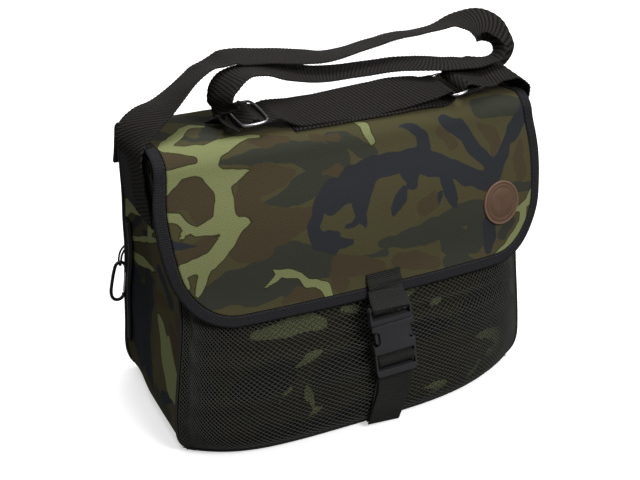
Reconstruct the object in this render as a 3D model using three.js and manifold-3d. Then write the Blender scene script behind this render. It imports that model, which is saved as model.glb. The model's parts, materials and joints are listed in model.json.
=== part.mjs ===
// A shoulder bag for training dummies, standing on its flat bottom.
// Millimetres. +X is the wearer's right side of the front, the front faces -Y, +Z is up.
// The origin is on the ground, under the middle of the bag.
import * as THREE from 'three';
import { mergeVertices } from 'three/addons/utils/BufferGeometryUtils.js';
import Module from 'manifold-3d';

// Sizes of the cloth body
const bag_width = 400;
const bag_height = 300;
const bag_depth = 190;
const cloth = 2;
const gap = 0.3;
const play = 0.9;

// Flap that folds over the top
const flap_width = 408;
const flap_cloth = 2.4;
const flap_corner = 62;
const flap_length = 330;
const flap_rise = 5;
const flap_stand_top = 6.5;
const flap_stand_low = 13;
const binding_width = 12;
const binding_thick = 4;

// Net pocket on the front and its hem
const pocket_cloth = 1.4;
const pocket_top = 196;
const pocket_bottom = 11;
const pocket_bulge = 7;
const pocket_share = 0.96;
const hem_width = 12;
const hem_thick = 2.4;

// Seam piping
const piping_radius = 1.6;

// Shoulder strap, its adjuster and its ring
const strap_width = 50;
const strap_thick = 1.6;
const strap_rise = 60;
const anchor_drop = 66;
const patch_drop = 74;
const patch_thick = 1.4;
const wire_radius = 1.6;
const frame_inside = 52;
const slider_length = 26;
const ring_length = 18;

// Closure: webbing and side-release buckle
const closure_width = 38;
const closure_thick = 1.5;
const buckle_width = 43;
const female_length = 58;
const buckle_thick = 11;
const buckle_wall = 1.8;
const buckle_slot = 4.8;
const bar_front = 4;
const bar_rear = 1.5;
const buckle_bar = 4.2;
const male_length = 17;
const buckle_lean = -8;
const buckle_turn = -8;
const buckle_x = 9;
const buckle_drop = 40;
const tab_sewn = 24;
const tab_shift = -2;

// Round leather patch on the flap
const badge_radius = 23.5;
const badge_thick = 1.8;
const badge_x = 155;
const badge_drop = 106;

// Snap hook on a cord loop at the rear left seam, beside the zip of the rear compartment
const hook_length = 44;
const hook_width = 14;
const hook_stand = 4;
const hook_radius = 2;
const gate_radius = 1.5;
const hook_out = 3.8;
const hook_top = 142;
const cord_radius = 1.3;
const zip_width = 11;
const zip_thick = 1.6;
const zip_top = 198;
const zip_bottom = 42;

const black_cloth = { color: 0x1c1c20, roughness: 0.85, metalness: 0 };
const black_webbing = { color: 0x1a1a1c, roughness: 0.8, metalness: 0 };
const black_plastic = { color: 0x161618, roughness: 0.4, metalness: 0 };
const black_net = { color: 0x202022, roughness: 0.8, metalness: 0 };
const camouflage = { color: 0x4a4c36, roughness: 0.9, metalness: 0 };
const brown_leather = { color: 0x5e4436, roughness: 0.6, metalness: 0 };
const dark_steel = { color: 0x55565a, roughness: 0.35, metalness: 0.9 };
const bright_steel = { color: 0xc8c8cc, roughness: 0.3, metalness: 1 };

const V = (x, y, z) => new THREE.Vector3(x, y, z);
const bag = new THREE.Group();

function add(name, geometry, look) {
  const mesh = new THREE.Mesh(geometry, new THREE.MeshStandardMaterial(look));
  mesh.name = name;
  bag.add(mesh);
  return mesh;
}

// Turns a list of points and triangles into a closed geometry whose faces point out
function closed(points, triangles) {
  let volume = 0;
  for (const [a, b, c] of triangles) {
    volume += points[a].dot(V(0, 0, 0).crossVectors(points[b], points[c]));
  }
  const faces = volume < 0 ? triangles.map(([a, b, c]) => [a, c, b]) : triangles;
  const geometry = new THREE.BufferGeometry();
  geometry.setAttribute('position', new THREE.Float32BufferAttribute(points.flatMap((p) => p.toArray()), 3));
  geometry.setIndex(faces.flat());
  geometry.computeVertexNormals();
  return geometry;
}

// Joins closed rings of equally many points, and closes both ends with a fan
function loft(rings) {
  const count = rings[0].length;
  const points = rings.flat();
  const triangles = [];
  for (let r = 0; r + 1 < rings.length; r++) {
    for (let i = 0; i < count; i++) {
      const a = r * count + i;
      const b = r * count + ((i + 1) % count);
      triangles.push([a, b, b + count], [a, b + count, a + count]);
    }
  }
  for (const [ring, start] of [[rings[0], 0], [rings.at(-1), (rings.length - 1) * count]]) {
    const middle = ring.reduce((sum, p) => sum.add(p), V(0, 0, 0)).divideScalar(count);
    const centre = points.push(middle) - 1;
    for (let i = 0; i < count; i++) {
      const next = start + ((i + 1) % count);
      triangles.push(start === 0 ? [centre, next, i] : [centre, start + i, next]);
    }
  }
  return closed(points, triangles);
}

// A cloth sheet: surface(u, v) is its middle, and both faces lie half a thickness off it
function sheet(surface, us, vs, thickness) {
  const step = 0.002;
  const faces = [-1, 1].map((side) => vs.map((v) => us.map((u) => {
    const along_u = surface(u + step, v).sub(surface(u - step, v));
    const along_v = surface(u, v + step).sub(surface(u, v - step));
    const normal = along_u.cross(along_v).normalize();
    return surface(u, v).addScaledVector(normal, side * thickness / 2);
  })));
  const n = us.length;
  const m = vs.length;
  const points = [...faces[0].flat(), ...faces[1].flat()];
  const at = (side, j, i) => side * n * m + j * n + i;
  const triangles = [];
  for (let j = 0; j + 1 < m; j++) {
    for (let i = 0; i + 1 < n; i++) {
      triangles.push([at(0, j, i), at(0, j + 1, i + 1), at(0, j, i + 1)]);
      triangles.push([at(0, j, i), at(0, j + 1, i), at(0, j + 1, i + 1)]);
      triangles.push([at(1, j, i), at(1, j, i + 1), at(1, j + 1, i + 1)]);
      triangles.push([at(1, j, i), at(1, j + 1, i + 1), at(1, j + 1, i)]);
    }
  }
  const rim = [];
  for (let i = 0; i < n; i++) rim.push([0, i]);
  for (let j = 1; j < m; j++) rim.push([j, n - 1]);
  for (let i = n - 2; i >= 0; i--) rim.push([m - 1, i]);
  for (let j = m - 2; j > 0; j--) rim.push([j, 0]);
  rim.forEach(([j, i], k) => {
    const [j2, i2] = rim[(k + 1) % rim.length];
    triangles.push([at(0, j, i), at(0, j2, i2), at(1, j2, i2)]);
    triangles.push([at(0, j, i), at(1, j2, i2), at(1, j, i)]);
  });
  return closed(points, triangles);
}

// A flat band swept through stations, each a centre and the direction across the band
function ribbon(stations, width, thickness, finer = 2) {
  const path = new THREE.CatmullRomCurve3(stations.map((s) => s.centre), false, 'centripetal');
  const across = new THREE.CatmullRomCurve3(stations.map((s) => s.across), false, 'centripetal');
  const rings = [];
  const steps = finer * (stations.length - 1);
  for (let k = 0; k <= steps; k++) {
    const t = k / steps;
    const along = path.getTangent(t);
    const side = across.getPoint(t);
    side.addScaledVector(along, -side.dot(along)).normalize();
    const normal = V(0, 0, 0).crossVectors(along, side);
    const corner = (a, b) => path.getPoint(t).addScaledVector(side, a * width / 2)
      .addScaledVector(normal, b * thickness / 2);
    rings.push([corner(-1, -1), corner(1, -1), corner(1, 1), corner(-1, 1)]);
  }
  return loft(rings);
}

function tube(points, radius, sides, steps) {
  const shape = new THREE.Shape();
  for (let i = 0; i < sides; i++) {
    const turn = (i / sides) * 2 * Math.PI;
    if (i === 0) shape.moveTo(radius, 0);
    else shape.lineTo(radius * Math.cos(turn), radius * Math.sin(turn));
  }
  const extrudePath = new THREE.CatmullRomCurve3(points, false, 'centripetal');
  const geometry = new THREE.ExtrudeGeometry(shape, { steps, extrudePath });
  return geometry;
}

const range = (count, from = 0, to = 1) => [...Array(count).keys()].map((i) => from + (to - from) * i / (count - 1));

// The body: rows from the ground to the rim. Up is a share of the height, wide of half the width,
// and the others are shares of the depth, from the middle plane to that corner or face.
const body_rows = [
  { up: 0.00, wide: 0.955, front_left: 0.450, front_right: 0.400, front_mid: 0.640, back: 0.33, back_mid: 0.40 },
  { up: 0.04, wide: 0.995, front_left: 0.485, front_right: 0.435, front_mid: 0.680, back: 0.42, back_mid: 0.49 },
  { up: 0.12, wide: 1.010, front_left: 0.487, front_right: 0.445, front_mid: 0.682, back: 0.44, back_mid: 0.52 },
  { up: 0.33, wide: 0.978, front_left: 0.490, front_right: 0.440, front_mid: 0.630, back: 0.37, back_mid: 0.50 },
  { up: 0.55, wide: 0.948, front_left: 0.480, front_right: 0.430, front_mid: 0.535, back: 0.29, back_mid: 0.43 },
  { up: 0.78, wide: 0.980, front_left: 0.430, front_right: 0.400, front_mid: 0.480, back: 0.26, back_mid: 0.33 },
  { up: 1.00, wide: 1.010, front_left: 0.335, front_right: 0.330, front_mid: 0.370, back: 0.15, back_mid: 0.17 },
];
const round_left = 5;
const round_right = 3;
const round_back = 3;

// A smooth curve through one column of a table
function column(rows, name, up) {
  const share = Math.min(1, Math.max(0, up));
  const last = rows.length - 1;
  const k = Math.min(last - 1, Math.max(0, rows.findIndex((row) => row.up > share) - 1 + (share >= 1 ? last + 1 : 0)));
  const slope = (i) => {
    const a = rows[Math.max(0, i - 1)];
    const b = rows[Math.min(last, i + 1)];
    return (b[name] - a[name]) / (b.up - a.up);
  };
  const span = rows[k + 1].up - rows[k].up;
  const t = (share - rows[k].up) / span;
  const [t2, t3] = [t * t, t * t * t];
  return (2 * t3 - 3 * t2 + 1) * rows[k][name] + (t3 - 2 * t2 + t) * span * slope(k)
    + (3 * t2 - 2 * t3) * rows[k + 1][name] + (t3 - t2) * span * slope(k + 1);
}

const half_width = (z) => column(body_rows, 'wide', z / bag_height) * bag_width / 2;

// The depth of the front and back faces at a share t of the half width, from -1 to 1
function front_face(t, z) {
  const up = z / bag_height;
  const middle = column(body_rows, 'front_mid', up);
  const corner = column(body_rows, t < 0 ? 'front_left' : 'front_right', up);
  return -bag_depth * (middle + (corner - middle) * Math.abs(t) ** (t < 0 ? round_left : round_right));
}

function back_face(t, z) {
  const up = z / bag_height;
  const middle = column(body_rows, 'back_mid', up);
  const corner = column(body_rows, 'back', up);
  return bag_depth * (middle + (corner - middle) * Math.abs(t) ** round_back);
}

const front_columns = 20;
const side_columns = 6;
const back_columns = 14;
const eased = (count) => [...Array(count).keys()].map((i) => -Math.cos(Math.PI * i / count));

function body_ring(z, inset) {
  const wide = half_width(z) - inset;
  const ring = [];
  for (const t of eased(front_columns)) ring.push(V(t * wide, front_face(t, z) + inset, z));
  for (let i = 0; i < side_columns; i++) {
    const t = i / side_columns;
    ring.push(V(wide, (front_face(1, z) + inset) * (1 - t) + (back_face(1, z) - inset) * t, z));
  }
  for (const t of eased(back_columns)) ring.push(V(-t * wide, back_face(-t, z) - inset, z));
  for (let i = 0; i < side_columns; i++) {
    const t = i / side_columns;
    ring.push(V(-wide, (back_face(-1, z) - inset) * (1 - t) + (front_face(-1, z) + inset) * t, z));
  }
  return ring;
}

function body() {
  const outer = [0, 0.015, 0.04, 0.08, 0.14, 0.22, 0.33, 0.44, 0.55, 0.66, 0.78, 0.89, 1];
  const inner = [1, 0.89, 0.78, 0.66, 0.55, 0.44, 0.33, 0.22, 0.14, 0.08, 0.04];
  return loft([
    ...outer.map((up) => body_ring(up * bag_height, 0)),
    ...inner.map((up) => body_ring(up * bag_height, cloth)),
    body_ring(cloth, cloth),
  ]);
}

// The flap's middle line, from the seam on the back, over the top and down the front
const flap_back = [0.86, 0.93];
const flap_top = [{ y: 0.19, up: 0.60 }, { y: 0.06, up: 1.08 }, { y: -0.15, up: 1.15 }, { y: -0.38, up: 0.95 }];
const flap_front = [0.965, 0.90, 0.80, 0.68, 0.56, 0.44, 0.34];
const flap_stand = (up) => {
  const t = (flap_front[0] - up) / (flap_front[0] - flap_front.at(-2));
  return flap_stand_top + (flap_stand_low - flap_stand_top) * Math.min(1, 1.6 * t);
};
const flap_line = new THREE.CatmullRomCurve3([
  ...flap_back.map((up) => V(0, back_face(0, up * bag_height) + cloth + flap_cloth / 2, up * bag_height)),
  ...flap_top.map((row) => V(0, row.y * bag_depth, bag_height + row.up * flap_rise)),
  ...flap_front.map((up) => V(0, front_face(0, up * bag_height) - flap_stand(up), up * bag_height)),
], false, 'centripetal');
flap_line.arcLengthDivisions = 800;
const flap_line_length = flap_line.getLength();
const flap_crown_left = 9;
const flap_crown_right = 15;
const flap_shift = 4;
// Between its shoulder and its lower corners the flap is wider than its outline by so much
const flap_flare_left = 9;
const flap_flare_right = 5;

// A point of the flap's middle surface, x to the side and so far along its line from the back
function flap_point(x, along) {
  const t = Math.min(1, Math.max(0, along / flap_line_length));
  const p = flap_line.getPointAt(t);
  const front = THREE.MathUtils.smoothstep(along, 0.4 * flap_length, 0.75 * flap_length);
  const share = Math.abs(x) / (flap_width / 2);
  const crown = (x < 0 ? flap_crown_left : flap_crown_right) * share ** 2.5;
  const wider = THREE.MathUtils.smoothstep(along, 0.5 * flap_length, 0.66 * flap_length)
    * (1 - THREE.MathUtils.smoothstep(along, 0.7 * flap_length, 0.92 * flap_length));
  const flare = (x < 0 ? -flap_flare_left : flap_flare_right) * share ** 2 * wider;
  return V(x + flare + flap_shift * front, p.y + crown * front, p.z);
}

function flap_normal(x, along) {
  const step = 0.5;
  const a = flap_point(x + step, along).sub(flap_point(x - step, along));
  const b = flap_point(x, along + step).sub(flap_point(x, along - step));
  return b.cross(a).normalize();
}

// Rows of the flap's outline, inset by so much: how far along, and the half width there
function flap_outline(inset, straight_rows, corner_rows) {
  const end = flap_length - inset;
  const radius = flap_corner - inset;
  const half = flap_width / 2 - inset;
  const rows = range(straight_rows, 0, end - radius).map((along) => ({ along, half }));
  for (let i = 1; i < corner_rows; i++) {
    const turn = (i / (corner_rows - 1)) * Math.PI / 2;
    rows.push({ along: end - radius + radius * Math.sin(turn), half: half - radius + radius * Math.cos(turn) });
  }
  return rows;
}

function flap() {
  const rows = flap_outline(binding_width + gap, 17, 8);
  const us = range(17, -1, 1);
  const vs = [...rows.keys()];
  const row_at = (v) => {
    const k = Math.min(rows.length - 2, Math.max(0, Math.floor(v)));
    const t = v - k;
    return {
      along: rows[k].along * (1 - t) + rows[k + 1].along * t,
      half: rows[k].half * (1 - t) + rows[k + 1].half * t,
    };
  };
  return sheet((u, v) => flap_point(u * row_at(v).half, row_at(v).along), us, vs, flap_cloth);
}

function flap_binding() {
  const edges = [0, binding_width].map((inset) => {
    const rows = flap_outline(inset, 17, 8);
    const left = rows.map((row) => [-row.half, row.along]);
    const right = rows.map((row) => [row.half, row.along]).reverse();
    const bottom = range(12, left.at(-1)[0], right[0][0]).slice(1, -1).map((x) => [x, rows.at(-1).along]);
    return [...left, ...bottom, ...right];
  });
  const rings = edges[0].map((outer, k) => {
    const inner = edges[1][k];
    const point = ([x, along], side) => flap_point(x, along)
      .addScaledVector(flap_normal(x, along), side * binding_thick / 2);
    return [point(outer, -1), point(outer, 1), point(inner, 1), point(inner, -1)];
  });
  return loft(rings);
}

// How far the net stands off the front face, at a share t of the width and a height z
function pocket_stand(t, z) {
  const share = (z - pocket_bottom) / (pocket_top - pocket_bottom);
  const belly = 0.25 + 0.75 * Math.sin(Math.PI * Math.min(1, 0.12 + 0.66 * share));
  return play + pocket_cloth / 2 + pocket_bulge * belly * (1 - t ** 4);
}

function pocket_surface(stand) {
  return (u, v) => {
    const z = pocket_bottom + v * (pocket_top - pocket_bottom);
    const t = pocket_share * u;
    return V(t * half_width(z), front_face(t, z) - pocket_stand(t, z) - stand, z);
  };
}

function net_pocket() {
  const us = [...eased(20), 1];
  return sheet(pocket_surface(0), us, range(9, 0, 1), pocket_cloth);
}

function pocket_hem() {
  const us = [...eased(20), 1];
  const from = 1 - hem_width / (pocket_top - pocket_bottom);
  return sheet(pocket_surface(pocket_cloth / 2 + gap + hem_thick / 2), us, [from, 1], hem_thick);
}

// Piping follows the edge of the front or back panel down, along the bottom and up again
function piping(face, out) {
  const seat = 0.6;
  const low = 3;
  const flare = (size, z) => Math.hypot(1, (size(z + 1) - size(z - 1)) / 2);
  const steep = (t, z) => flare((height) => face(t, height), z);
  const ups = [0.97, 0.89, 0.78, 0.66, 0.55, 0.44, 0.33, 0.22, 0.14, 0.08, 0.04, 0.02];
  const side = (sign) => ups.map((up) => {
    const z = up * bag_height;
    const off = (piping_radius + (up < 0.1 ? 2.6 : 1) * seat) * Math.SQRT1_2;
    return V(sign * (half_width(z) + off * flare(half_width, z)), face(sign, z) + out * off * steep(sign, z), z);
  });
  const bottom = [-0.97, -0.88, -0.75, -0.6, -0.4, -0.2, 0, 0.2, 0.4, 0.6, 0.75, 0.88, 0.97].map((t) => (
    V(t * half_width(low), face(t, low) + out * (piping_radius + seat + 0.3) * steep(t, low), low)));
  const points = [...side(-1), ...bottom, ...side(1).reverse()];
  return tube(points, piping_radius, 6, 60);
}

// The shoulder strap's stations: x is a share of half the bag's width, y of its depth and z of
// the strap's rise above the rim; the last three give the direction across the webbing.
const long_rows = [
  { x: -0.985, y: -0.130, z: 0.36, ax: -0.28, ay: 0.93, az: 0.10 },
  { x: -0.810, y: -0.020, z: 0.58, ax: 0.00, ay: 1.00, az: -0.08 },
  { x: -0.625, y: 0.078, z: 0.85, ax: 0.15, ay: 0.98, az: -0.15 },
  { x: -0.505, y: 0.135, z: 0.90, ax: 0.30, ay: 0.93, az: -0.05 },
  { x: -0.420, y: 0.160, z: 0.93, ax: 0.40, ay: 0.90, az: 0.05 },
  { x: -0.240, y: 0.165, z: 0.88, ax: 0.40, ay: 0.90, az: 0.00 },
  { x: -0.055, y: 0.160, z: 0.80, ax: 0.40, ay: 0.90, az: 0.00 },
  { x: 0.130, y: 0.158, z: 0.75, ax: 0.42, ay: 0.90, az: -0.08 },
  { x: 0.360, y: 0.158, z: 0.86, ax: 0.42, ay: 0.90, az: -0.10 },
  { x: 0.500, y: 0.158, z: 0.93, ax: 0.44, ay: 0.88, az: -0.12 },
  { x: 0.650, y: 0.158, z: 0.95, ax: 0.48, ay: 0.85, az: -0.16 },
  { x: 0.750, y: 0.155, z: 0.98, ax: 0.52, ay: 0.82, az: -0.12 },
  { x: 0.860, y: 0.145, z: 1.05, ax: 0.60, ay: 0.78, az: 0.05 },
  { x: 0.960, y: 0.105, z: 1.05, ax: 0.70, ay: 0.65, az: 0.28 },
  { x: 1.025, y: 0.053, z: 0.92, ax: 0.80, ay: 0.48, az: 0.38 },
  { x: 1.040, y: 0.000, z: 0.70, ax: 0.86, ay: 0.40, az: 0.30 },
  { x: 0.985, y: -0.045, z: 0.56, ax: 0.70, ay: 0.66, az: 0.05 },
  { x: 0.880, y: -0.075, z: 0.52, ax: 0.52, ay: 0.84, az: -0.08 },
  { x: 0.725, y: -0.085, z: 0.55, ax: 0.50, ay: 0.86, az: -0.06 },
  { x: 0.555, y: -0.060, z: 0.60, ax: 0.48, ay: 0.87, az: 0.00 },
  { x: 0.420, y: -0.010, z: 0.60, ax: 0.46, ay: 0.88, az: 0.00 },
  { x: 0.260, y: 0.030, z: 0.56, ax: 0.45, ay: 0.88, az: 0.00 },
  { x: 0.030, y: 0.060, z: 0.55, ax: 0.43, ay: 0.90, az: 0.00 },
  { x: -0.190, y: 0.035, z: 0.70, ax: 0.36, ay: 0.93, az: 0.00 },
  { x: -0.370, y: -0.030, z: 0.86, ax: 0.10, ay: 0.98, az: -0.06 },
  { x: -0.480, y: -0.070, z: 0.88, ax: -0.22, ay: 0.96, az: -0.10 },
  { x: -0.548, y: -0.110, z: 0.78, ax: -0.24, ay: 0.95, az: -0.14 },
  { x: -0.588, y: -0.140, z: 0.60, ax: -0.16, ay: 0.96, az: -0.20 },
  { x: -0.586, y: -0.165, z: 0.42, ax: -0.06, ay: 0.97, az: -0.20 },
];

const strap_station = (row) => ({
  centre: V(row.x * bag_width / 2, row.y * bag_depth, bag_height + row.z * strap_rise),
  across: V(row.ax, row.ay, row.az),
});

// A wire frame's own axes: a runs across the webbing, b along it and n away from the bag
function wire_place(x, y, z, a, b) {
  const across = a.clone().normalize();
  const along = b.clone().addScaledVector(across, -b.dot(across)).normalize();
  return {
    centre: V(x * bag_width / 2, y * bag_depth, bag_height + z * strap_rise),
    across, along, out: V(0, 0, 0).crossVectors(along, across),
  };
}

const local = (place, a, b, n) => place.centre.clone().addScaledVector(place.across, a)
  .addScaledVector(place.along, b).addScaledVector(place.out, n);

const slider_place = wire_place(-0.485, -0.205, 0.37, V(0.05, 1, 0.05), V(1, 0, 0.10));
const ring_place = wire_place(0.605, -0.240, 0.365, V(0.05, 1, 0.05), V(1, 0, 0.20));

// Two bent halves whose ends lie in each other, so that the wire closes without a seam inside it
function wire_frame(place, inside, length, with_bar) {
  const corner = 4;
  const lap = 1;
  const half = inside / 2 + wire_radius;
  const reach = length / 2;
  const bend = (sa, sb, da, db) => local(place, sa * (half - da), sb * (reach - db), 0);
  const halves = [1, -1].map((side) => tube([
    local(place, half, -side * lap, 0),
    bend(1, side, 0, corner), bend(1, side, 0.3 * corner, 0.3 * corner), bend(1, side, corner, 0),
    bend(-1, side, corner, 0), bend(-1, side, 0.3 * corner, 0.3 * corner), bend(-1, side, 0, corner),
    local(place, -half, -side * lap, 0),
  ], wire_radius, 6, 16));
  const bar = tube([local(place, -half, 0, 0), local(place, half, 0, 0)], wire_radius, 6, 1);
  return join(with_bar ? [...halves, bar] : halves);
}

// Booleans on closed geometries
const wasm = await Module();
wasm.setup();

function to_manifold(geometry) {
  const bare = geometry.clone();
  bare.deleteAttribute('normal');
  bare.deleteAttribute('uv');
  const merged = mergeVertices(bare, 1e-4);
  return new wasm.Manifold(new wasm.Mesh({
    numProp: 3,
    vertProperties: new Float32Array(merged.attributes.position.array),
    triVerts: new Uint32Array(merged.index.array),
  }));
}

function from_manifold(solid) {
  const mesh = solid.getMesh();
  const geometry = new THREE.BufferGeometry();
  geometry.setAttribute('position', new THREE.Float32BufferAttribute(mesh.vertProperties, 3));
  geometry.setIndex([...mesh.triVerts]);
  geometry.computeVertexNormals();
  return geometry;
}

function join(geometries) {
  return from_manifold(geometries.map(to_manifold).reduce((a, b) => a.add(b)));
}

function cut(geometry, tools) {
  return from_manifold(tools.map(to_manifold).reduce((a, b) => a.subtract(b), to_manifold(geometry)));
}

// Stations where the long strap weaves through the adjuster: under, over and under its bars
const weave = wire_radius + 2.5 * gap + strap_thick / 2;
const slider_reach = slider_length / 2;
const in_slider = [
  [-1.9 * slider_reach, -0.2 * weave], [-slider_reach, -weave], [-0.5 * slider_reach, 0],
  [0, weave], [0.5 * slider_reach, 0], [slider_reach, -weave], [1.9 * slider_reach, -0.6 * weave],
].map(([b, n]) => ({ centre: local(slider_place, 0, b, n), across: slider_place.across }));

// From the adjuster to the ring, round the ring's bar and back below itself
const upper_rows = [
  { x: -0.250, y: -0.220, z: 0.290, ax: 0.35, ay: 0.92, az: 0.20 },
  { x: -0.065, y: -0.222, z: 0.285, ax: 0.40, ay: 0.88, az: 0.26 },
  { x: 0.130, y: -0.222, z: 0.300, ax: 0.40, ay: 0.84, az: 0.34 },
  { x: 0.300, y: -0.228, z: 0.345, ax: 0.36, ay: 0.86, az: 0.34 },
  { x: 0.450, y: -0.236, z: 0.375, ax: 0.22, ay: 0.94, az: 0.20 },
];
const lower_rows = [
  { x: 0.440, y: -0.238, z: 0.220, ax: 0.15, ay: 0.97, az: 0.10 },
  { x: 0.250, y: -0.235, z: 0.200, ax: 0.25, ay: 0.95, az: 0.12 },
  { x: 0.080, y: -0.232, z: 0.198, ax: 0.30, ay: 0.94, az: 0.12 },
  { x: -0.100, y: -0.235, z: 0.195, ax: 0.28, ay: 0.94, az: 0.12 },
  { x: -0.300, y: -0.235, z: 0.195, ax: 0.20, ay: 0.96, az: 0.12 },
];
const fold = 6;
const ring_reach = ring_length / 2;
const ring_turn = [
  [-ring_reach - 0.9 * fold, weave + 0.6], [-ring_reach, weave + 0.6], [-ring_reach + 0.8 * fold, -0.2 * fold],
  [-ring_reach + 0.35 * fold, -1.15 * fold], [-ring_reach - 0.9 * fold, -1.45 * fold],
].map(([b, n]) => ({ centre: local(ring_place, 0, b, n), across: ring_place.across }));

function anchor_stations(sign) {
  const across = V(0, 1, 0);
  const y = -0.2 * bag_depth;
  const stand = play + patch_thick + strap_thick / 2 + 4;
  const at = (z) => ({ centre: V(sign * (half_width(z) + stand), y, z), across });
  return [bag_height - anchor_drop, bag_height - 0.6 * anchor_drop, bag_height - 0.25 * anchor_drop].map(at);
}

const long_stations = [
  ...anchor_stations(-1),
  { centre: V(-half_width(bag_height) - 8.5, -0.19 * bag_depth, bag_height + 0.06 * strap_rise), across: V(-0.12, 1, 0.05) },
  ...long_rows.map(strap_station),
  ...in_slider,
  ...upper_rows.map(strap_station),
  ...ring_turn,
  ...lower_rows.map(strap_station),
];

// The short strap: up the right side, over the flap's corner and round the ring's other bar
const short_rows = [
  { x: 1.045, y: -0.205, z: 0.20, ax: -0.05, ay: 1.00, az: 0.00 },
  { x: 1.010, y: -0.210, z: 0.38, ax: 0.20, ay: 0.96, az: 0.00 },
  { x: 0.920, y: -0.212, z: 0.42, ax: 0.30, ay: 0.94, az: 0.05 },
  { x: 0.810, y: -0.220, z: 0.38, ax: 0.26, ay: 0.95, az: 0.08 },
];
const short_fold = 3.2;
const short_turn = [
  [ring_reach + 1.1 * short_fold, weave + 1.2], [ring_reach, weave + 1.2], [ring_reach - 1.3 * short_fold, 0],
  [ring_reach, -weave - 0.4], [ring_reach + 1.4 * short_fold, -weave - 0.8], [ring_reach + 6 * short_fold, -1.2 * weave],
].map(([b, n]) => ({ centre: local(ring_place, 0, b, n), across: ring_place.across }));

const short_stations = [...anchor_stations(1), ...short_rows.map(strap_station), ...short_turn];

// Black panel over the top of each gusset, under the webbing
function anchor_patch(sign) {
  const surface = (u, v) => {
    const z = bag_height - 2 - v * patch_drop;
    const front = front_face(sign, z) + 3;
    const back = back_face(sign, z) - 3;
    return V(sign * (half_width(z) + play + patch_thick / 2), front + u * (back - front), z);
  };
  return sheet(surface, range(4, 0, 1), range(5, 0, 1), patch_thick);
}

// The buckle's own axes: x across, y towards the front, z up along it
const buckle_turned = new THREE.Matrix4().makeRotationFromEuler(
  new THREE.Euler(0, THREE.MathUtils.degToRad(buckle_lean), THREE.MathUtils.degToRad(buckle_turn), 'ZYX'));
const buckle_z = flap_point(0, flap_length).z - buckle_drop;
const buckle_back = front_face(0.06, buckle_z) - pocket_stand(0, buckle_z) - pocket_cloth / 2;
const buckle_y = buckle_back - buckle_thick / 2 - 2.5 * closure_thick - 7;
const buckle_matrix = new THREE.Matrix4().makeTranslation(buckle_x, buckle_y, buckle_z).multiply(buckle_turned);
const on_buckle = (x, y, z) => V(x, y, z).applyMatrix4(buckle_matrix);

// A block whose outline has rounded corners, thick along y
function block(width, length, thick, radius) {
  const [w, l] = [width / 2 - radius, length / 2 - radius];
  const shape = new THREE.Shape();
  shape.absarc(w, l, radius, 0, Math.PI / 2);
  shape.absarc(-w, l, radius, Math.PI / 2, Math.PI);
  shape.absarc(-w, -l, radius, Math.PI, 1.5 * Math.PI);
  shape.absarc(w, -l, radius, 1.5 * Math.PI, 2 * Math.PI);
  const geometry = new THREE.ExtrudeGeometry(shape, { depth: thick, bevelEnabled: false, curveSegments: 3 });
  return geometry.translate(0, 0, -thick / 2).rotateX(Math.PI / 2);
}

const box = (x, y, z, w, d, h) => new THREE.BoxGeometry(w, d, h).translate(x, y, z);
const female_mid = -male_length / 2;
const female_low = female_mid - female_length / 2;
const female_top = female_mid + female_length / 2;
const upper_slot_z = female_low + 2 * buckle_bar + 1.5 * buckle_slot;
const lower_slot_z = female_low + buckle_bar + 0.5 * buckle_slot;
const middle_bar_z = (upper_slot_z + lower_slot_z) / 2;
const socket_low = upper_slot_z + buckle_slot / 2 + 3;
const slot_width = closure_width + 1.4;
const window_z = female_mid + 6;
const window_height = 17;
const window_cut = 7;

function buckle_female() {
  const socket_height = female_top - socket_low + 1;
  const socket = box(0, 0, socket_low + socket_height / 2, buckle_width - 2 * buckle_wall,
    buckle_thick - 2 * buckle_wall, socket_height);
  const body_block = block(buckle_width, female_length, buckle_thick, 3).translate(0, 0, female_mid);
  const slots = [upper_slot_z, lower_slot_z].map((z) => box(0, 0, z, slot_width, buckle_thick + 2, buckle_slot));
  const windows = [-1, 1].map((side) => block(2 * window_cut, window_height, buckle_thick + 2, 5)
    .translate(side * buckle_width / 2, 0, window_z));
  const thin_height = 2 * (upper_slot_z + buckle_slot / 2 - female_low);
  const thin_back = box(0, bar_rear + buckle_thick / 2, female_low, buckle_width + 2, buckle_thick, thin_height);
  const thin_front = box(0, -bar_front - buckle_thick / 2, female_low, buckle_width + 2, buckle_thick, thin_height);
  return cut(body_block, [socket, ...slots, ...windows, thin_back, thin_front]).applyMatrix4(buckle_matrix);
}

function buckle_male() {
  const plate_thick = buckle_thick - 2 * buckle_wall - 2 * gap;
  const low = female_top + gap;
  const loop = cut(block(buckle_width, male_length, buckle_thick - 3, 2.5).translate(0, 0, low + male_length / 2), [
    box(0, 0, low + male_length / 2 + 1, slot_width, buckle_thick, male_length - 2 * buckle_bar)]);
  const reach = female_top - window_z;
  const arms = [-1, 1].map((side) => join([
    box(side * (buckle_width / 2 - 8), 0, low - reach / 2 + 1, 3.4, plate_thick, reach + 2),
    block(7.4, window_height - 3, plate_thick, 3).translate(side * (buckle_width / 2 - 6.4), 0, window_z),
  ]));
  const tongue = box(0, 0, low - 12 + 1, 5, plate_thick, 26);
  return join([loop, ...arms, tongue]).applyMatrix4(buckle_matrix);
}

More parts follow.
